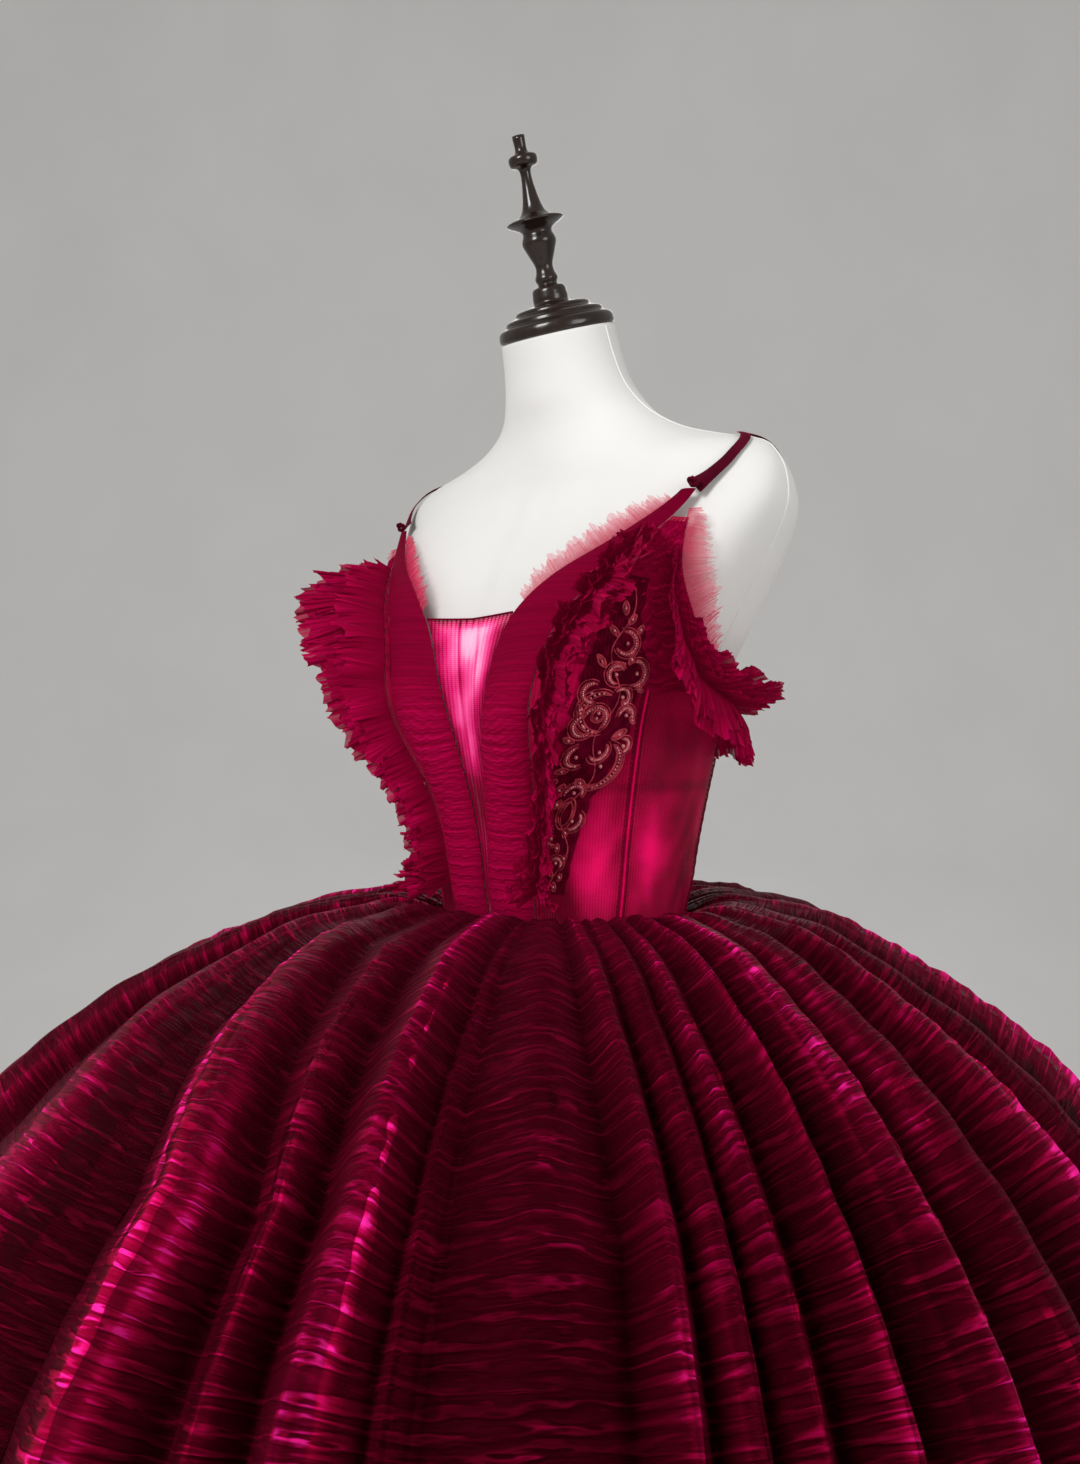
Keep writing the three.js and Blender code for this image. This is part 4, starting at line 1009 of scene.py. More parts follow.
def make_modesty():
    """Sheer net that fills the plunging neckline, with a cord along its top edge."""
    v = np.linspace(0, 1, 90)[:, None]
    z = MODESTY_BOTTOM + (MODESTY_TOP - MODESTY_BOTTOM) * v
    edge = table_value(NECKLINE, "z", z, "turn") - SEAM_TURN
    turns = edge * np.linspace(-1, 1, 60)[None, :]
    heights = np.broadcast_to(z, turns.shape)
    wrinkle = bell(turns, -2.5 + 3 * (1 - v), 0.45) * v + 0.8 * bell(turns, 4.0 - 2 * v ** 3, 0.4) * v ** 2
    grid = bodice_point(turns, heights, -0.6 + 1.2 * wrinkle)
    from_edge = np.minimum(edge - np.abs(turns), (MODESTY_TOP - heights) / 1.6)
    cloudy = 0.72 + 0.2 * np.sin(heights / 17 + turns / 3) + 0.1 * np.sin(heights / 7 - turns / 2)
    # The net is painted pale as light from the white form behind, with painted shade in its wrinkles; it is
    # also darker near its edges and towards the bottom
    light = (np.clip(from_edge / 5.5, 0, 1) * cloudy - 0.45 * wrinkle) * np.clip((z - 118) / 50, 0, 1)
    obj = grids_object("modesty_net", [(grid, cloth_place(turns * 2, heights, np.clip(light, 0, 1)))])
    dress(obj, NET, ["modesty_panel"])
    turns = np.linspace(-12.6, 12.6, 60)
    level = np.full(turns.shape, float(MODESTY_TOP))
    path = bodice_point(turns, level, 0.2)
    outward = surface_normal(bodice_skin, turns, level)
    dress(tubes_object("modesty_edge", [tube_grid(path, outward, 0.9)]), RUCHED)


def make_band(side):
    """Neckline band: smooth above, growing into fine ruched pleats over a puffed fold below."""
    u = np.linspace(0, 1, 30)[None, :]
    z = np.concatenate([np.linspace(BODICE_BOTTOM, RUCHED_TOP + 20, 310),
                        np.linspace(RUCHED_TOP + 22, BAND_TOP, 80)])[:, None]
    start = table_value(NECKLINE, "z", z, "turn") + SEAM_TURN
    end = table_value(BAND_OUTER, "z", z, "turn") - 2 * SEAM_TURN
    turns = start + (end - start) * u
    heights = np.broadcast_to(z, turns.shape)
    arch = np.sin(np.pi * u) ** 0.55
    begun = np.clip((RUCHED_TOP + 26 - z) / 62, 0, 1)
    puff = begun * begun * (3 - 2 * begun) * np.clip((z - 2) / 18, 0, 1) ** 0.6
    drift = 2.2 * wander(u * 0.7 + z / 130, 5) - 3.2 * (u - 0.5) ** 2
    folds = 0.45 * np.sin(FULL_TURN * z / 8.3 + 1.4 * drift) + 0.4 * np.sin(FULL_TURN * z / 4.1 + 3 * drift)
    folds = folds + 0.35 * np.sin(FULL_TURN * z / 2.7 + 4 * drift)
    lift = 0.6 + 1.2 * arch * (1 - puff) + arch * puff * (8.0 + 0.9 * wander(z / 60, 12) + 0.75 * folds)
    grid = bodice_point(turns, heights, np.maximum(lift, 0.5))
    # Painted light on the puffed folds, lighter on their tops and on the raised middle; the band also gets
    # lighter towards the bottom
    low_light = 0.22 * np.clip((BAND_TOP - z) / 80, 0, 1)
    accent = np.clip(low_light + puff * (0.2 + 0.3 * folds + 0.25 * arch), 0, 1) * np.ones_like(turns)
    obj = sheet_object("ruched_band", side, grid, cloth_place(turns * 2, heights, accent))
    dress(obj, RUCHED, [f"neckline_band_{side}"])


def make_casings(side):
    """Boning channels over the seams."""
    for name, seam, top, bright in (("front", PRINCESS_SEAM, FRONT_BONE_TOP, 1.0),
                                    ("side", SIDE_SEAM, SIDE_BONE_TOP, 0.5)):
        z = np.linspace(BODICE_BOTTOM + 2, top, 120)[:, None]
        u = np.linspace(-1, 1, 12)[None, :]
        turns = seam + turn_of(u * 2.6, np.full(z.shape, float(seam)), z)
        lift = 0.5 + 1.3 * (1 - u ** 4) + 0.15 * np.sin(z / 1.5)
        heights = np.broadcast_to(z, turns.shape)
        # Painted highlight down each channel's raised middle, half as strong on the side channel
        place = cloth_place(turns * 2, heights, 0.85 * bright * bell(u, 0, 0.5))
        obj = sheet_object(f"casing_{name}", side, bodice_point(turns, heights, lift), place)
        node = f"bone_casing_{name}_{side}"
        dress(obj, MESH, [node])
    make_stitches(side)


def make_stitches(side):
    """Rows of short stitches beside each boning channel."""
    stitches = []
    for seam, top in ((PRINCESS_SEAM, FRONT_BONE_TOP), (SIDE_SEAM, SIDE_BONE_TOP),
                      (SIDE_SEAM + 3, SIDE_BONE_TOP)):
        for offset in (-3.4, 3.4):
            for low in np.arange(6, top, 4.2):
                z = np.linspace(low, low + 2.6, 4)
                turns = seam + turn_of(offset, np.full(z.shape, float(seam)), z)
                path = on_side(bodice_point(turns, z, 0.35), SIDES[side])
                outward = on_side(surface_normal(bodice_skin, turns, z), SIDES[side])
                stitches.append(tube_grid(path, outward, 0.28, 5))
    dress(tubes_object(f"stitching_{side}", stitches), VELVET)


# Ruffles and frills


def line_frames(rows, shares, lift):
    """Values, directions and root points along a gathering line on the bodice."""
    here = row_along(rows, shares)
    step = 0.004
    ahead = row_along(rows, np.minimum(shares + step, 1))
    behind = row_along(rows, np.maximum(shares - step, 0))
    along = unit(bodice_point(ahead["turn"], ahead["z"]) - bodice_point(behind["turn"], behind["z"]))
    outward = surface_normal(bodice_skin, here["turn"], here["z"])
    across = unit(np.cross(along, outward))
    return here, along, outward, across, bodice_point(here["turn"], here["z"], lift)


def ruffle_pleats(place, q, seed):
    """Sideways wave of the pleats, with the angles of the coarse and the medium ones."""
    coarse, medium, fine = (FULL_TURN * place / period + drift * wander(place / slow, seed + own)
                            for period, drift, slow, own in zip(*PLEATS.values()))
    depth = 0.75 + 0.45 * wander(place / 30, seed + 17)
    pleat = ((depth * np.sin(coarse))[:, None] * q ** 0.8
             + 0.55 * np.sin(medium)[:, None] * q ** 0.4
             + 0.3 * np.sin(fine)[:, None] * q ** 0.2)
    return pleat, coarse, medium


def ragged_edge(coarse, q, seed):
    """How far each point near the free edge of a ruffle sticks out or falls short."""
    ragged = np.random.default_rng(seed + 11).uniform(-1, 1, len(coarse))
    ragged = 2.6 * np.convolve(ragged, np.ones(3) / 2, mode="same") + 1.4 * np.sin(coarse)
    return ragged[:, None] * np.clip((q - 0.8) / 0.2, 0, 1)


def lobe_size(here, lobe, layer, loose):
    """Reach and spread of one layer of a lobe; each further layer is shorter and nearer the middle."""
    kind = "inner" if lobe < 0 else "outer"
    side = -np.sign(lobe)
    reach = here[f"{kind}_reach"] * (1 - 0.13 * layer) * loose
    middle = 0.5 * side * (here["outer_spread"] - here["inner_spread"]) * -1
    return reach, here[f"{kind}_spread"] + (middle - here[f"{kind}_spread"]) * 0.28 * layer


def ruffle_sheet(rows, waves, lift, lobe, layer, length, seed):
    """One frilled layer of a lobe, from the gathering line to its ragged free edge."""
    shares = np.linspace(0, 1, int(length / RUFFLE_MESH["column"]))
    here, along, outward, across, root = line_frames(rows, shares, lift)
    side = -np.sign(lobe)
    reach, spread = lobe_size(here, lobe, layer, 1 + 0.07 * wander(shares * waves, seed + 3))
    q = np.linspace(0, 1, RUFFLE_MESH["rows"])[None, :]
    phase = FULL_TURN * waves * shares + (0 if lobe < 0 else math.pi * 0.8) + 0.9 * layer
    uneven = 1 + 0.35 * wander(shares * waves * 0.7, seed)
    big = 0.11 * reach[:, None] * q * (np.sin(phase) * uneven)[:, None]
    place = shares * length
    clumps = 1 + 0.2 * wander(place / 19, seed + 23)
    pleat, coarse, medium = ruffle_pleats(place, q, seed)
    up = (reach * clumps)[:, None] * q ** 0.9 + ragged_edge(coarse, q, seed)
    power = 1.3 if lobe < 0 else 0.9
    curl = 0.08 * reach[:, None] * np.sign(spread + 0.01)[:, None] * q ** 3
    sideways = side * (spread[:, None] * q ** power + curl + big) + pleat
    tousle = (8 * wander(place / 31, seed + 5)[:, None] * q ** 1.5
              + 5 * wander(place / 14, seed + 29)[:, None] * q ** 2)
    sway = 0.5 * np.sin(medium)[:, None] * q + tousle
    grid = (root[:, None, :] + across[:, None, :] * sideways[..., None]
            + outward[:, None, :] * up[..., None] + along[:, None, :] * sway[..., None])
    # Painted light and shade: darker at the gathered root, lighter towards the free edge and on the coarse
    # pleat tops, with slow random changes of tone
    accent = 0.3 + 0.45 * q + 0.2 * np.sin(coarse)[:, None] * q + 0.2 * wander(place / 22, seed + 41)[:, None]
    spot = cloth_place(reach[:, None] * q, (place * 2.2)[:, None] + 40 * layer + seed, np.clip(accent, 0, 1))
    return grid, spot


def make_ruffle(name, side, rows, waves, lift, length, flat_side):
    grids = []
    for lobe in (-1, 1):
        for layer in range(RUFFLE_MESH["layers"]):
            seed = 17 * layer + (3 if lobe > 0 else 60)
            grid, place = ruffle_sheet(rows, waves, lift, lobe, layer, length, seed)
            grids.append((on_side(grid, SIDES[side]), place))
    obj = grids_object(f"{name}_ruffle_{side}", grids)
    dress(obj, TULLE, [f"ruffle_{name}_{side}"])


def steps_across(here, across):
    """Degrees round and height up for each mm that cloth lies across its gathering line."""
    step = 0.5
    by_turn = bodice_point(here["turn"] + step, here["z"]) - bodice_point(here["turn"] - step, here["z"])
    by_height = bodice_point(here["turn"], here["z"] + step) - bodice_point(here["turn"], here["z"] - step)
    turn_square = np.sum(by_turn ** 2, -1)
    mixed = np.sum(by_turn * by_height, -1)
    height_square = np.sum(by_height ** 2, -1)
    det = turn_square * height_square - mixed ** 2
    a = np.sum(across * by_turn, -1)
    b = np.sum(across * by_height, -1)
    return (a * height_square - b * mixed) / det, (b * turn_square - a * mixed) / det


def make_frill(name, side, rows, reach, waves, length):
    """Two thin layers that lie over the bodice and reach past its edge."""
    shares = np.linspace(0, 1, int(length / FRILL_MESH["column"]))
    here, _, _, across, _ = line_frames(rows, shares, 0.0)
    turn_step, height_step = steps_across(here, across)
    grids = []
    for layer in range(FRILL_MESH["layers"]):
        q = np.linspace(0, 1, FRILL_MESH["rows"])[None, :]
        pace = length / (3.4 + 0.6 * layer)
        phase = FULL_TURN * pace * shares + 2.2 * wander(shares * pace * 0.3, 31 + layer)
        ragged = 2.4 * np.sin(phase * 0.5 + layer) + 3.0 * wander(shares * waves * 2, 77 + layer)
        swell = 0.3 + 0.7 * np.sin(np.pi * shares) ** 0.7
        wide = (reach[side] * swell + ragged)[:, None]
        inward = 3 - wide * q * (1 - 0.12 * layer)
        waving = 1.6 * np.sin(phase) + 2.4 * np.sin(FULL_TURN * waves * shares + layer)
        lift = -1.0 - 1.2 * layer + q * waving[:, None]
        turns = here["turn"][:, None] + inward * turn_step[:, None]
        heights = here["z"][:, None] + inward * height_step[:, None]
        # Painted light: dark at the gathering line, lighter towards the free edge
        accent = np.clip(0.1 + 0.8 * q + 0 * lift, 0, 1)
        place = cloth_place(inward, (shares * length * 2.4)[:, None] + 30 * layer, accent)
        grids.append((on_side(bodice_point(turns, heights, lift), SIDES[side]), place))
    obj = grids_object(f"{name}_frill_{side}", grids)
    node = f"frill_{name}_{side}"
    dress(obj, PALE_TULLE, [node])


# Corded lace motif


def arc(centre, radius, start, sweep, count=18):
    """Part of a circle of the flat motif, in mm across and up it; radius may change along it."""
    angle = np.radians(start + sweep * np.linspace(0, 1, count))
    return np.stack([centre[0] + radius * np.cos(angle), centre[1] + radius * np.sin(angle)], -1)


def crescent(centre, radius, start, sweep, width):
    """The closed outline of a crescent that is widest at its middle, and its middle line."""
    swell = np.sin(np.linspace(0, math.pi, 18)) ** 0.8
    outer = arc(centre, radius, start, sweep)
    inner = arc(centre, radius - width * swell, start, sweep)
    middle = arc(centre, radius - 0.5 * width * swell, start, sweep)
    return np.concatenate([outer, inner[-2:0:-1], outer[:1]]), middle


def leaf(centre, length, width, turn, count=20):
    t = np.linspace(0, FULL_TURN, count)
    across = 0.5 * width * np.sin(t)
    along = 0.5 * length * np.cos(t) * (1 - 0.25 * np.abs(np.sin(t)))
    a = math.radians(turn)
    return np.stack([centre[0] + along * math.cos(a) - across * math.sin(a),
                     centre[1] + along * math.sin(a) + across * math.cos(a)], -1)


# Crescents and scrolls of the motif: place across and up from the waist, size, start and sweep
CRESCENTS = {
    "across": [5, 18, -8, -9, 8, -14, 2, 4, -9, -2, 9, -17, 16, 0, -3, 21, -16],
    "up": [229, 208, 178, 174, 137, 145, 148, 92, 77, 56, 190, 168, 176, 206, 116, 152, 192],
    "radius": [9, 10, 15, 9, 17, 8, 7, 8, 6, 5, 7, 8, 7, 7, 7, 6, 7],
    "start": [-150, 130, 60, -60, -95, 100, 60, -110, 80, -60, 150, 90, -40, 30, 200, -90, 60],
    "sweep": [270, -250, 230, 240, 175, 210, -220, 170, 220, 240, -220, 240, 230, 260, -230, 210, 240],
    "width": [3.4, 3.8, 4.2, 3, 5, 3, 2.8, 3.2, 2.6, 2.4, 2.6, 3, 2.8, 2.8, 2.6, 2.6, 2.6],
}
LEAVES = {
    "across": [-11, -1, 6, -6, 1, 11, 12, 18, 23, 14, -25, -15, -2, -20, -3, 4, -6, 2, -2, 1, -12, 24, -22,
               -24, 9, -12, 14],
    "up": [258, 253, 246, 236, 212, 218, 185, 180, 172, 161, 123, 118, 124, 134, 69, 60, 48, 44, 36, 82, 214,
           196, 180, 158, 120, 106, 240],
    "length": [9, 10, 9, 10, 12, 9, 9, 8, 8, 14, 13, 12, 11, 10, 8, 7, 8, 7, 8, 9, 10, 8, 9, 9, 10, 9, 8],
    "turn": [30, 110, 60, 140, 20, 70, -40, -30, -40, 30, 35, 70, 150, 10, 100, 60, 120, 70, 95, 80, 130, -30,
             120, 160, 20, 60, 60],
}
OVALS = {"across": [-3, -8], "up": [98, 176], "half_across": [5, 4], "half_up": [10, 4]}
CORD_RADIUS = {"scroll": 0.95, "edging": 0.6, "leaf": 0.85, "spine": 0.7}
BEAD_RADIUS = {"row": 0.85, "scroll": 1.3, "leaf": 1.1}
LACE_LIFT = {"ground": 1.7, "cord": 2.3, "bead": 3.0}
LEAF_SLIMNESS = 0.45


def motif_place(points):
    """Points of the flat motif laid along its spine on the bodice, as turn and height."""
    z = points[..., 1]
    middle = table_value(APPLIQUE, "z", z, "turn")
    return middle + turn_of(points[..., 0], middle, z), z


def make_lace_ground(side):
    """Dark netted ground of the motif, with a scalloped edge."""
    z = np.linspace(APPLIQUE["z"][-1], APPLIQUE["z"][0], 170)[:, None]
    u = np.linspace(-1, 1, 28)[None, :]
    inner = table_value(APPLIQUE, "z", z, "inner")
    outer = table_value(APPLIQUE, "z", z, "outer")
    scallop = 0.86 + 0.14 * np.abs(np.sin(z / 7.5 + u)) + 0.06 * np.sin(z / 3.1)
    across = np.where(u < 0, u * inner, u * outer) * scallop
    turns, heights = motif_place(np.stack([across, np.broadcast_to(z, across.shape)], -1))
    knots = np.sin(across / 1.9) * np.sin(heights / 2.3)
    place = cloth_place(across, heights, np.clip(0.2 + 0.14 * knots, 0, 1))
    obj = sheet_object("lace_ground", side, bodice_point(turns, heights, LACE_LIFT["ground"]), place)
    dress(obj, LACE_GROUND, [f"applique_{side}"])


def make_applique(side):
    make_lace_ground(side)
    cords, pads, beads = [], [], []

    def lay(points, kind):
        turns, z = motif_place(points)
        path = on_side(bodice_point(turns, z, LACE_LIFT["cord"]), SIDES[side])
        outward = on_side(surface_normal(bodice_skin, turns, z), SIDES[side])
        cords.append(tube_grid(path, outward, CORD_RADIUS[kind], 5))

    for across, up, radius, start, sweep, width in zip(*CRESCENTS.values()):
        outline, middle = crescent((across, up), radius, start, sweep, width)
        lay(outline, "scroll")
        lay(arc((across, up), radius + 2.2, start, sweep), "edging")
        beads.extend((x, y, BEAD_RADIUS["row"]) for x, y in middle[2:-2])
        beads.append((across, up, BEAD_RADIUS["scroll"]))
    for across, up, length, turn in zip(*LEAVES.values()):
        lay(leaf((across, up), length, length * LEAF_SLIMNESS, turn), "leaf")
        beads.append((across, up, BEAD_RADIUS["leaf"]))
        pads.append((across, up, length * 0.8, turn))
    for across, up, half_across, half_up in zip(*OVALS.values()):
        ring = arc((0, 0), 1.0, 0, 360, 28)
        for spread in (1.0, 1.35):
            lay(ring * np.array([half_across, half_up]) * spread + np.array([across, up]), "leaf")
    spine = np.stack([6 * np.sin(np.linspace(0, 24, 240)), np.linspace(268, 30, 240)], -1)
    lay(spine, "spine")
    dress(tubes_object(f"lace_cords_{side}", cords), CORD)
    make_beads(f"lace_beads_{side}", beads, side)
    make_lace_pads(f"lace_pads_{side}", pads, side)


def make_lace_pads(name, pads, side):
    """Dense thread filling inside each leaf, slightly domed."""
    grids = []
    for across, up, length, turn in pads:
        ring = leaf((across, up), length, length * LEAF_SLIMNESS, turn, 19)[:-1]
        centre = np.array([across, up])
        rows = np.array([centre + (ring - centre) * share for share in (0.05, 0.5, 0.95)])
        turns, z = motif_place(rows)
        lift = np.array([2.9, 2.6, 2.0])[:, None] * np.ones(z.shape)
        place = cloth_place(rows[..., 0], rows[..., 1], 0.0)
        grids.append((on_side(bodice_point(turns, z, lift), SIDES[side]), place))
    dress(grids_object(name, grids, is_ring=True), CORD)


def make_beads(name, beads, side):
    """Small faceted beads sewn among the cords."""
    lat = np.linspace(0, math.pi, 5)[1:-1]
    angles = np.linspace(0, FULL_TURN, 7, endpoint=False)
    shell = np.array([[[math.sin(p) * math.cos(a), math.sin(p) * math.sin(a), math.cos(p)]
                       for a in angles] for p in lat])
    caps = np.concatenate([shell[:1] * [0.02, 0.02, 1.4], shell, shell[-1:] * [0.02, 0.02, 1.4]])
    grids = []
    for across, up, radius in beads:
        turns, z = motif_place(np.array([[across, up]]))
        centre = on_side(bodice_point(turns, z, LACE_LIFT["bead"]), SIDES[side])[0]
        grids.append((centre + caps * radius * 1.35, cloth_place(0, 0, np.zeros(caps.shape[:2]))))
    dress(grids_object(name, grids, is_ring=True), BEADS)


# Straps and knots


def strap_path(shares):
    """A strap's values, path and normals: on the form, eased up to the bodice at both ends."""
    row = row_along(STRAP, shares)
    skin = bodice_skin(row["turn"], row["z"])
    under = form_point(row["turn"], row["z"])
    normal = surface_normal(form_point, row["turn"], row["z"])
    cup = np.linalg.norm(skin - under, axis=-1)
    ease = np.clip(1 - shares * 4, 0, 1) + np.clip(shares * 6 - 5, 0, 1)
    lift = 2.4 + (cup - CLOTH - 2.4) * ease
    return row, under + normal * lift[:, None], normal


def make_strap(side):
    shares = np.linspace(0, 1, 160)
    row, path, normal = strap_path(shares)
    along = unit(np.gradient(path, axis=0))
    across = unit(np.cross(along, normal))
    u = np.linspace(-1, 1, 9)
    crown = 0.9 * (1 - u ** 2) + 0.3
    grid = (path[:, None, :] + across[:, None, :] * (row["half"][:, None] * u[None, :])[..., None]
            + normal[:, None, :] * crown[None, :, None])
    place = cloth_place(u[None, :] * 6, (shares * 400)[:, None], 0.0)
    obj = grids_object(f"shoulder_strap_{side}", [(on_side(grid, SIDES[side]), place)])
    dress(obj, VELVET, [f"strap_{side}"])
    make_knot(side)


def make_knot(side):
    """The small bow where a strap meets the neckline."""
    seat = on_side(bodice_point(46.6, 348.5, 4.2), SIDES[side])
    t = np.linspace(0, FULL_TURN, 40)
    loops = []
    for size, tilt in ((4.4, 0.3), (3.4, 1.4)):
        ring = np.stack([size * np.cos(t), 1.4 * np.sin(2 * t), size * 0.6 * np.sin(t)], -1)
        turn = np.array([[math.cos(tilt), 0, math.sin(tilt)], [0, 1, 0],
                         [-math.sin(tilt), 0, math.cos(tilt)]])
        path = seat + ring @ turn.T
        loops.append(tube_grid(path, np.broadcast_to([0.1, -1.0, 0.2], path.shape), 1.3, 8))
    dress(tubes_object(f"strap_tie_{side}", loops), VELVET, [f"strap_knot_{side}"])


# Skirt


def fold_turns(column, radius):
    """Where a valley lies at each radius, on its way from the waist to below the hip."""
    waist = np.append(SKIRT_FOLDS["waist"], SKIRT_FOLDS["waist"][0] + 360.0)
    low = np.append(SKIRT_FOLDS["low"], SKIRT_FOLDS["low"][0] + 360.0)
    start = WAIST_SHAPE["half"]
    share = np.clip((radius - start) / (FOLD_SETTLES_BY - start), 0, 1) ** 0.8
    return waist[column] + (low[column] - waist[column]) * share


def skirt_crest(turn, share):
    """Points of the skirt's crest surface: oval at the waist, round and uneven below."""
    turn, share = np.broadcast_arrays(np.asarray(turn, float), np.asarray(share, float))
    row = row_along(SKIRT_PROFILE, share)
    away = np.clip((row["radius"] - WAIST_SHAPE["round_by"]) / 120, 0, 1)
    side = np.sin(np.radians(turn))
    face = np.cos(np.radians(turn))
    depth = np.where(face > 0, WAIST_SHAPE["front"], WAIST_SHAPE["back"])
    waist = 1 / np.hypot(side / WAIST_SHAPE["half"], face / depth)
    roundness = np.clip((row["radius"] - WAIST_SHAPE["half"])
                        / (WAIST_SHAPE["round_by"] - WAIST_SHAPE["half"]), 0, 1)
    oval = row["radius"] + waist - WAIST_SHAPE["half"]
    radius = (oval + (row["radius"] - oval) * roundness)
    radius = radius * (1 + away * FULLER["share"] * np.cos(np.radians(turn - FULLER["turn"])))
    return np.stack([radius * side, -radius * face, WAIST_HEIGHT + row["z"]], -1)


def skirt_normal(turn, share):
    low = np.minimum(share + 0.01, 1)
    high = np.maximum(share - 0.01, 0)
    around = skirt_crest(turn + 0.5, share) - skirt_crest(turn - 0.5, share)
    return unit(np.cross(around, skirt_crest(turn, high) - skirt_crest(turn, low)))


def skirt_shares(count):
    """Rows down the skirt, closer together near the waist."""
    return np.linspace(0, 1, count) ** 1.25


def down_length(shares):
    """Length of cloth from the waist to each row, in mm."""
    path = skirt_crest(np.zeros(shares.shape), shares)
    return np.concatenate([[0], np.cumsum(np.linalg.norm(np.diff(path, axis=0), axis=1))])


def fold_ridges(part, line, down, offsets, ends):
    """Soft creases and sharp lines of the folds in mm, then the ridge, second line and fading."""
    bends = FULL_TURN * (1.5 + 0.4 * np.sin(offsets)) * part
    crease = np.sin(bends + offsets + 0.9 * np.sin(down / 260 + offsets))
    crease = crease * ends * (4.2 + 2.0 * np.sin(down / 180 + offsets))
    second = bell(part, 1 - line + 0.05 * np.sin(down / 130 + offsets), 0.05)
    second = second * (1 + np.sin(down / 170 + offsets))
    ridge = bell(part, line, 0.045)
    fades = 0.6 + 0.4 * np.sin(down / 120 + offsets) * np.sin(down / 47 + 2 * offsets)
    sharp = (5.0 * ridge + 2.4 * second) * np.clip(fades + 0.2, 0.2, 1) * ends
    return crease + sharp, ridge, second, fades


def waist_gathers(turn, down):
    """Tight gathers that fade out below the waist, in mm."""
    gather = 2.4 * np.exp(-down / 70) * np.clip(down / 8, 0, 1)
    angle = np.radians(turn)
    return gather * (np.sin(61 * angle + 2 * np.sin(7 * angle)) + 0.5 * np.sin(103 * angle))


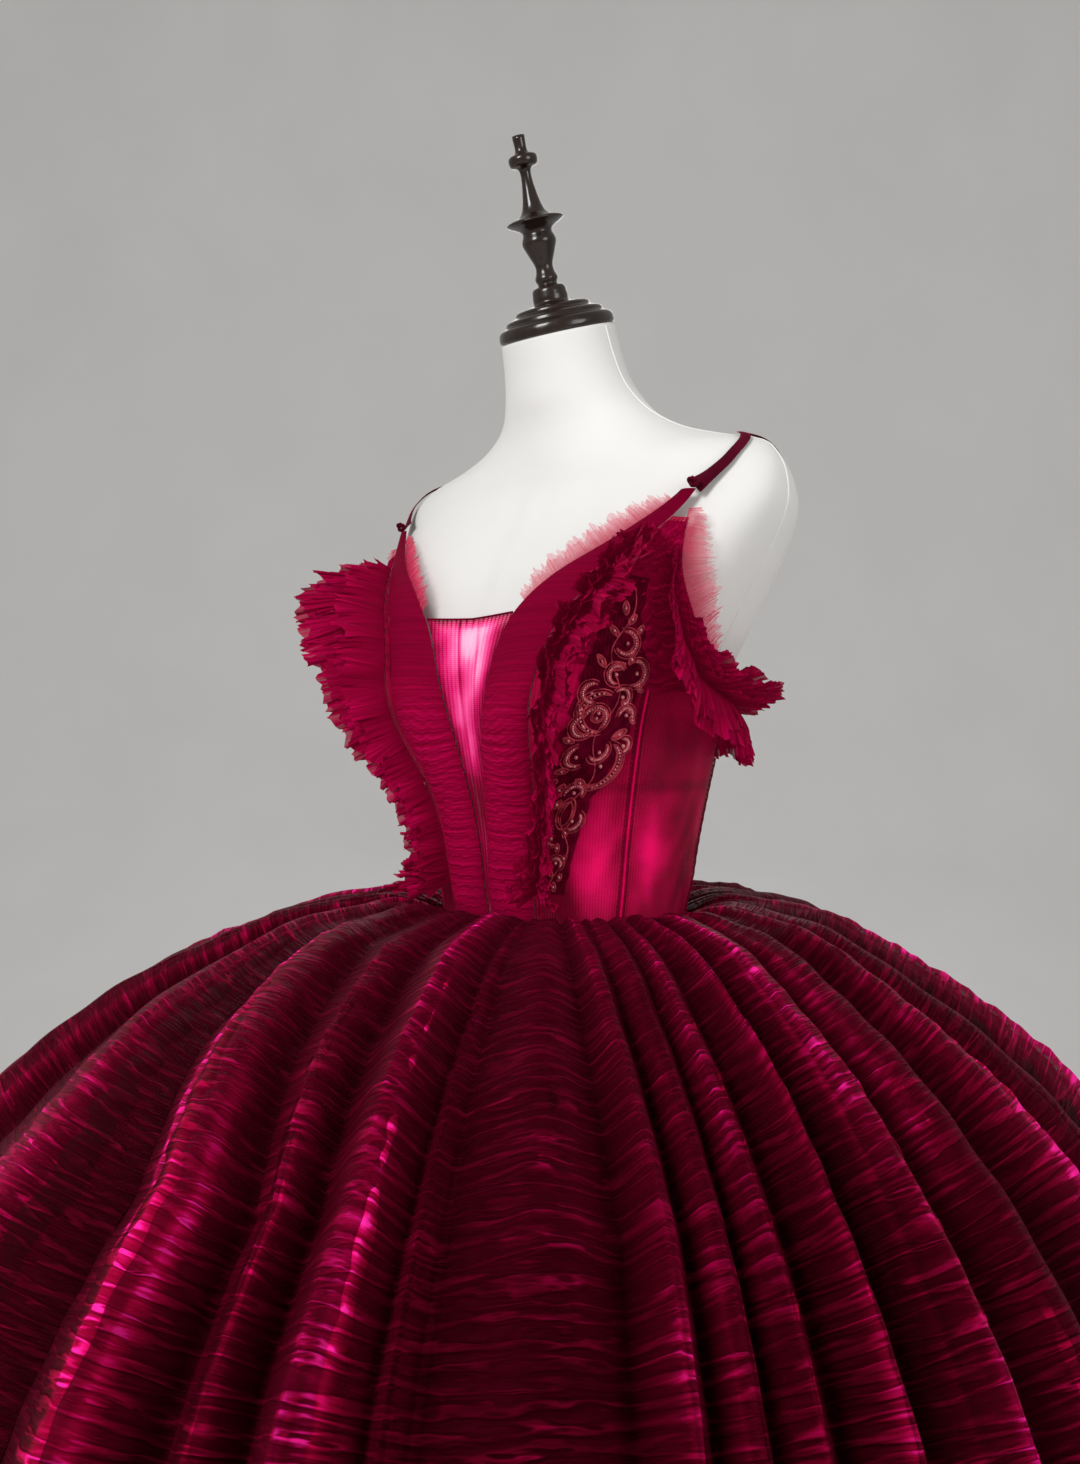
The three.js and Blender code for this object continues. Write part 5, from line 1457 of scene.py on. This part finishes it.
def skirt_sheet(first, last, steps, rows, lift=0.0, seed=0, slack=0.0):
    """Folded cloth between two valleys; slack fills the valleys as a looser top layer does."""
    shares = skirt_shares(rows)
    down = down_length(shares)[:, None]
    across = np.arange(first * steps, last * steps + 1)
    fold = np.minimum(across // steps, last - 1)
    part = (across / steps - fold)[None, :]
    row = {name: value[:, None] for name, value in row_along(SKIRT_PROFILE, shares).items()}
    start = fold_turns(fold[None, :], row["radius"])
    end = fold_turns(fold[None, :] + 1, row["radius"])
    turn = start + (end - start) * part
    share = np.broadcast_to(shares[:, None], turn.shape)
    rise, lean = (np.array(SKIRT_FOLDS[name], float)[fold][None, :] for name in ("rise", "lean"))
    glow, line = (np.array(FOLD_LIGHT[name], float)[fold][None, :] for name in ("glow", "line"))
    arch = np.sin(np.pi * np.clip(part, 0, 1)) ** CREST_SHARPNESS
    offsets = np.random.default_rng(seed + 5).uniform(0, FULL_TURN, 31)[fold][None, :]
    line = line + 0.07 * np.sin(down / 230 + offsets) + (0.16 * np.sin(offsets) if slack else 0)
    ends = np.sin(np.pi * part) ** 0.5
    relief, ridge, second, fades = fold_ridges(part, line, down, offsets, ends)
    scallop = 0.9 * np.sin(FULL_TURN * down / 26 + offsets) * ridge
    pucker = 0.7 * np.sin(down / 9.0 + 3 * np.sin(turn / 4.0 + offsets) + 2 * np.sin(down / 70 + turn / 9))
    normal = skirt_normal(turn, share)
    around = unit(np.cross(np.array([0, 0, 1.0]), normal))
    out = row["fold"] * (rise * arch - FOLD_BASE + relief) * (1 - slack)
    out = out + np.clip(row["fold"] * 2, 0, 1) * (pucker + scallop)
    out = out + waist_gathers(turn, down) + lift * np.clip(down / 60, 0, 1)
    side = row["fold"] * lean * arch
    grid = skirt_crest(turn, share) + normal * out[..., None] + around * side[..., None]
    # Painted light and shade: each fold's crest lines and lit side are painted bright and its valleys dark,
    # scaled by the fold's painted glow
    lit_side = np.clip((part - line) / 0.35, -1, 0) + 1
    lit_side = lit_side * np.clip(1 - (part - line) / 0.5, 0, 1)
    accent = glow * (0.40 * arch * lit_side + 0.85 * ridge * fades + 0.35 * second) + 0.15 * arch
    accent = accent * (0.75 + 0.25 * np.sin(down / 95 + 3 * offsets)) * np.clip(0.8 + 0.5 * row["fold"], 0, 1)
    place = cloth_place(np.radians(turn) * row["radius"], down + 0 * turn, np.clip(accent, 0, 1))
    return grid, place


def skirt_object(name, material, nodes, sheet, is_ring=False):
    """Skirt cloth from its waist-first rows, turned to face out."""
    grid, place = sheet
    obj = grids_object(name, [(grid[::-1], place[::-1])], is_ring=is_ring)
    dress(obj, material, nodes)


def make_skirt():
    for gore, (first, last) in enumerate(zip(GORE_STARTS, GORE_STARTS[1:]), 1):
        sheet = skirt_sheet(first, last, **GORE_SHEET)
        skirt_object(f"organza_gore_{gore}", ORGANZA, [f"skirt_gore_{gore}"], sheet)
    veil = skirt_sheet(GORE_STARTS[0], GORE_STARTS[-1], **VEIL_SHEET)
    skirt_object("organza_veil", VEIL, (), veil)


def make_underskirt():
    shares = np.concatenate([[0.014], np.linspace(0.03, 0.985, 70)])
    turns = np.linspace(0, 360, 180, endpoint=False)
    row = row_along(SKIRT_PROFILE, shares)
    inset = UNDERSKIRT["top"] + row["fold"] * (FOLD_BASE + UNDERSKIRT["inset"])
    turn, share = np.meshgrid(turns, shares)
    ripple = 2.0 * np.sin(np.radians(turn) * 40 + 3 * share) * np.clip(share * 4, 0, 1)
    grid = skirt_crest(turn, share) - skirt_normal(turn, share) * (inset[:, None] + ripple + 2)[..., None]
    place = cloth_place(np.radians(turn) * 400, down_length(shares)[:, None], 0.4)
    skirt_object("underskirt_layers", UNDER, ["underskirt"], (grid, place), True)


make_camera()
make_studio()
make_floor()
make_form()
make_piping()
make_wood()
make_underskirt()
make_skirt()
make_modesty()
for wearer_side in SIDES:
    make_bodice(wearer_side)
    make_bust_gathers(wearer_side)
    make_band(wearer_side)
    make_casings(wearer_side)
    make_applique(wearer_side)
    for ruffle_name, ruffle in RUFFLES.items():
        make_ruffle(ruffle_name, wearer_side, **ruffle)
    for frill_name, frill in FRILLS.items():
        make_frill(frill_name, wearer_side, **frill)
    make_strap(wearer_side)
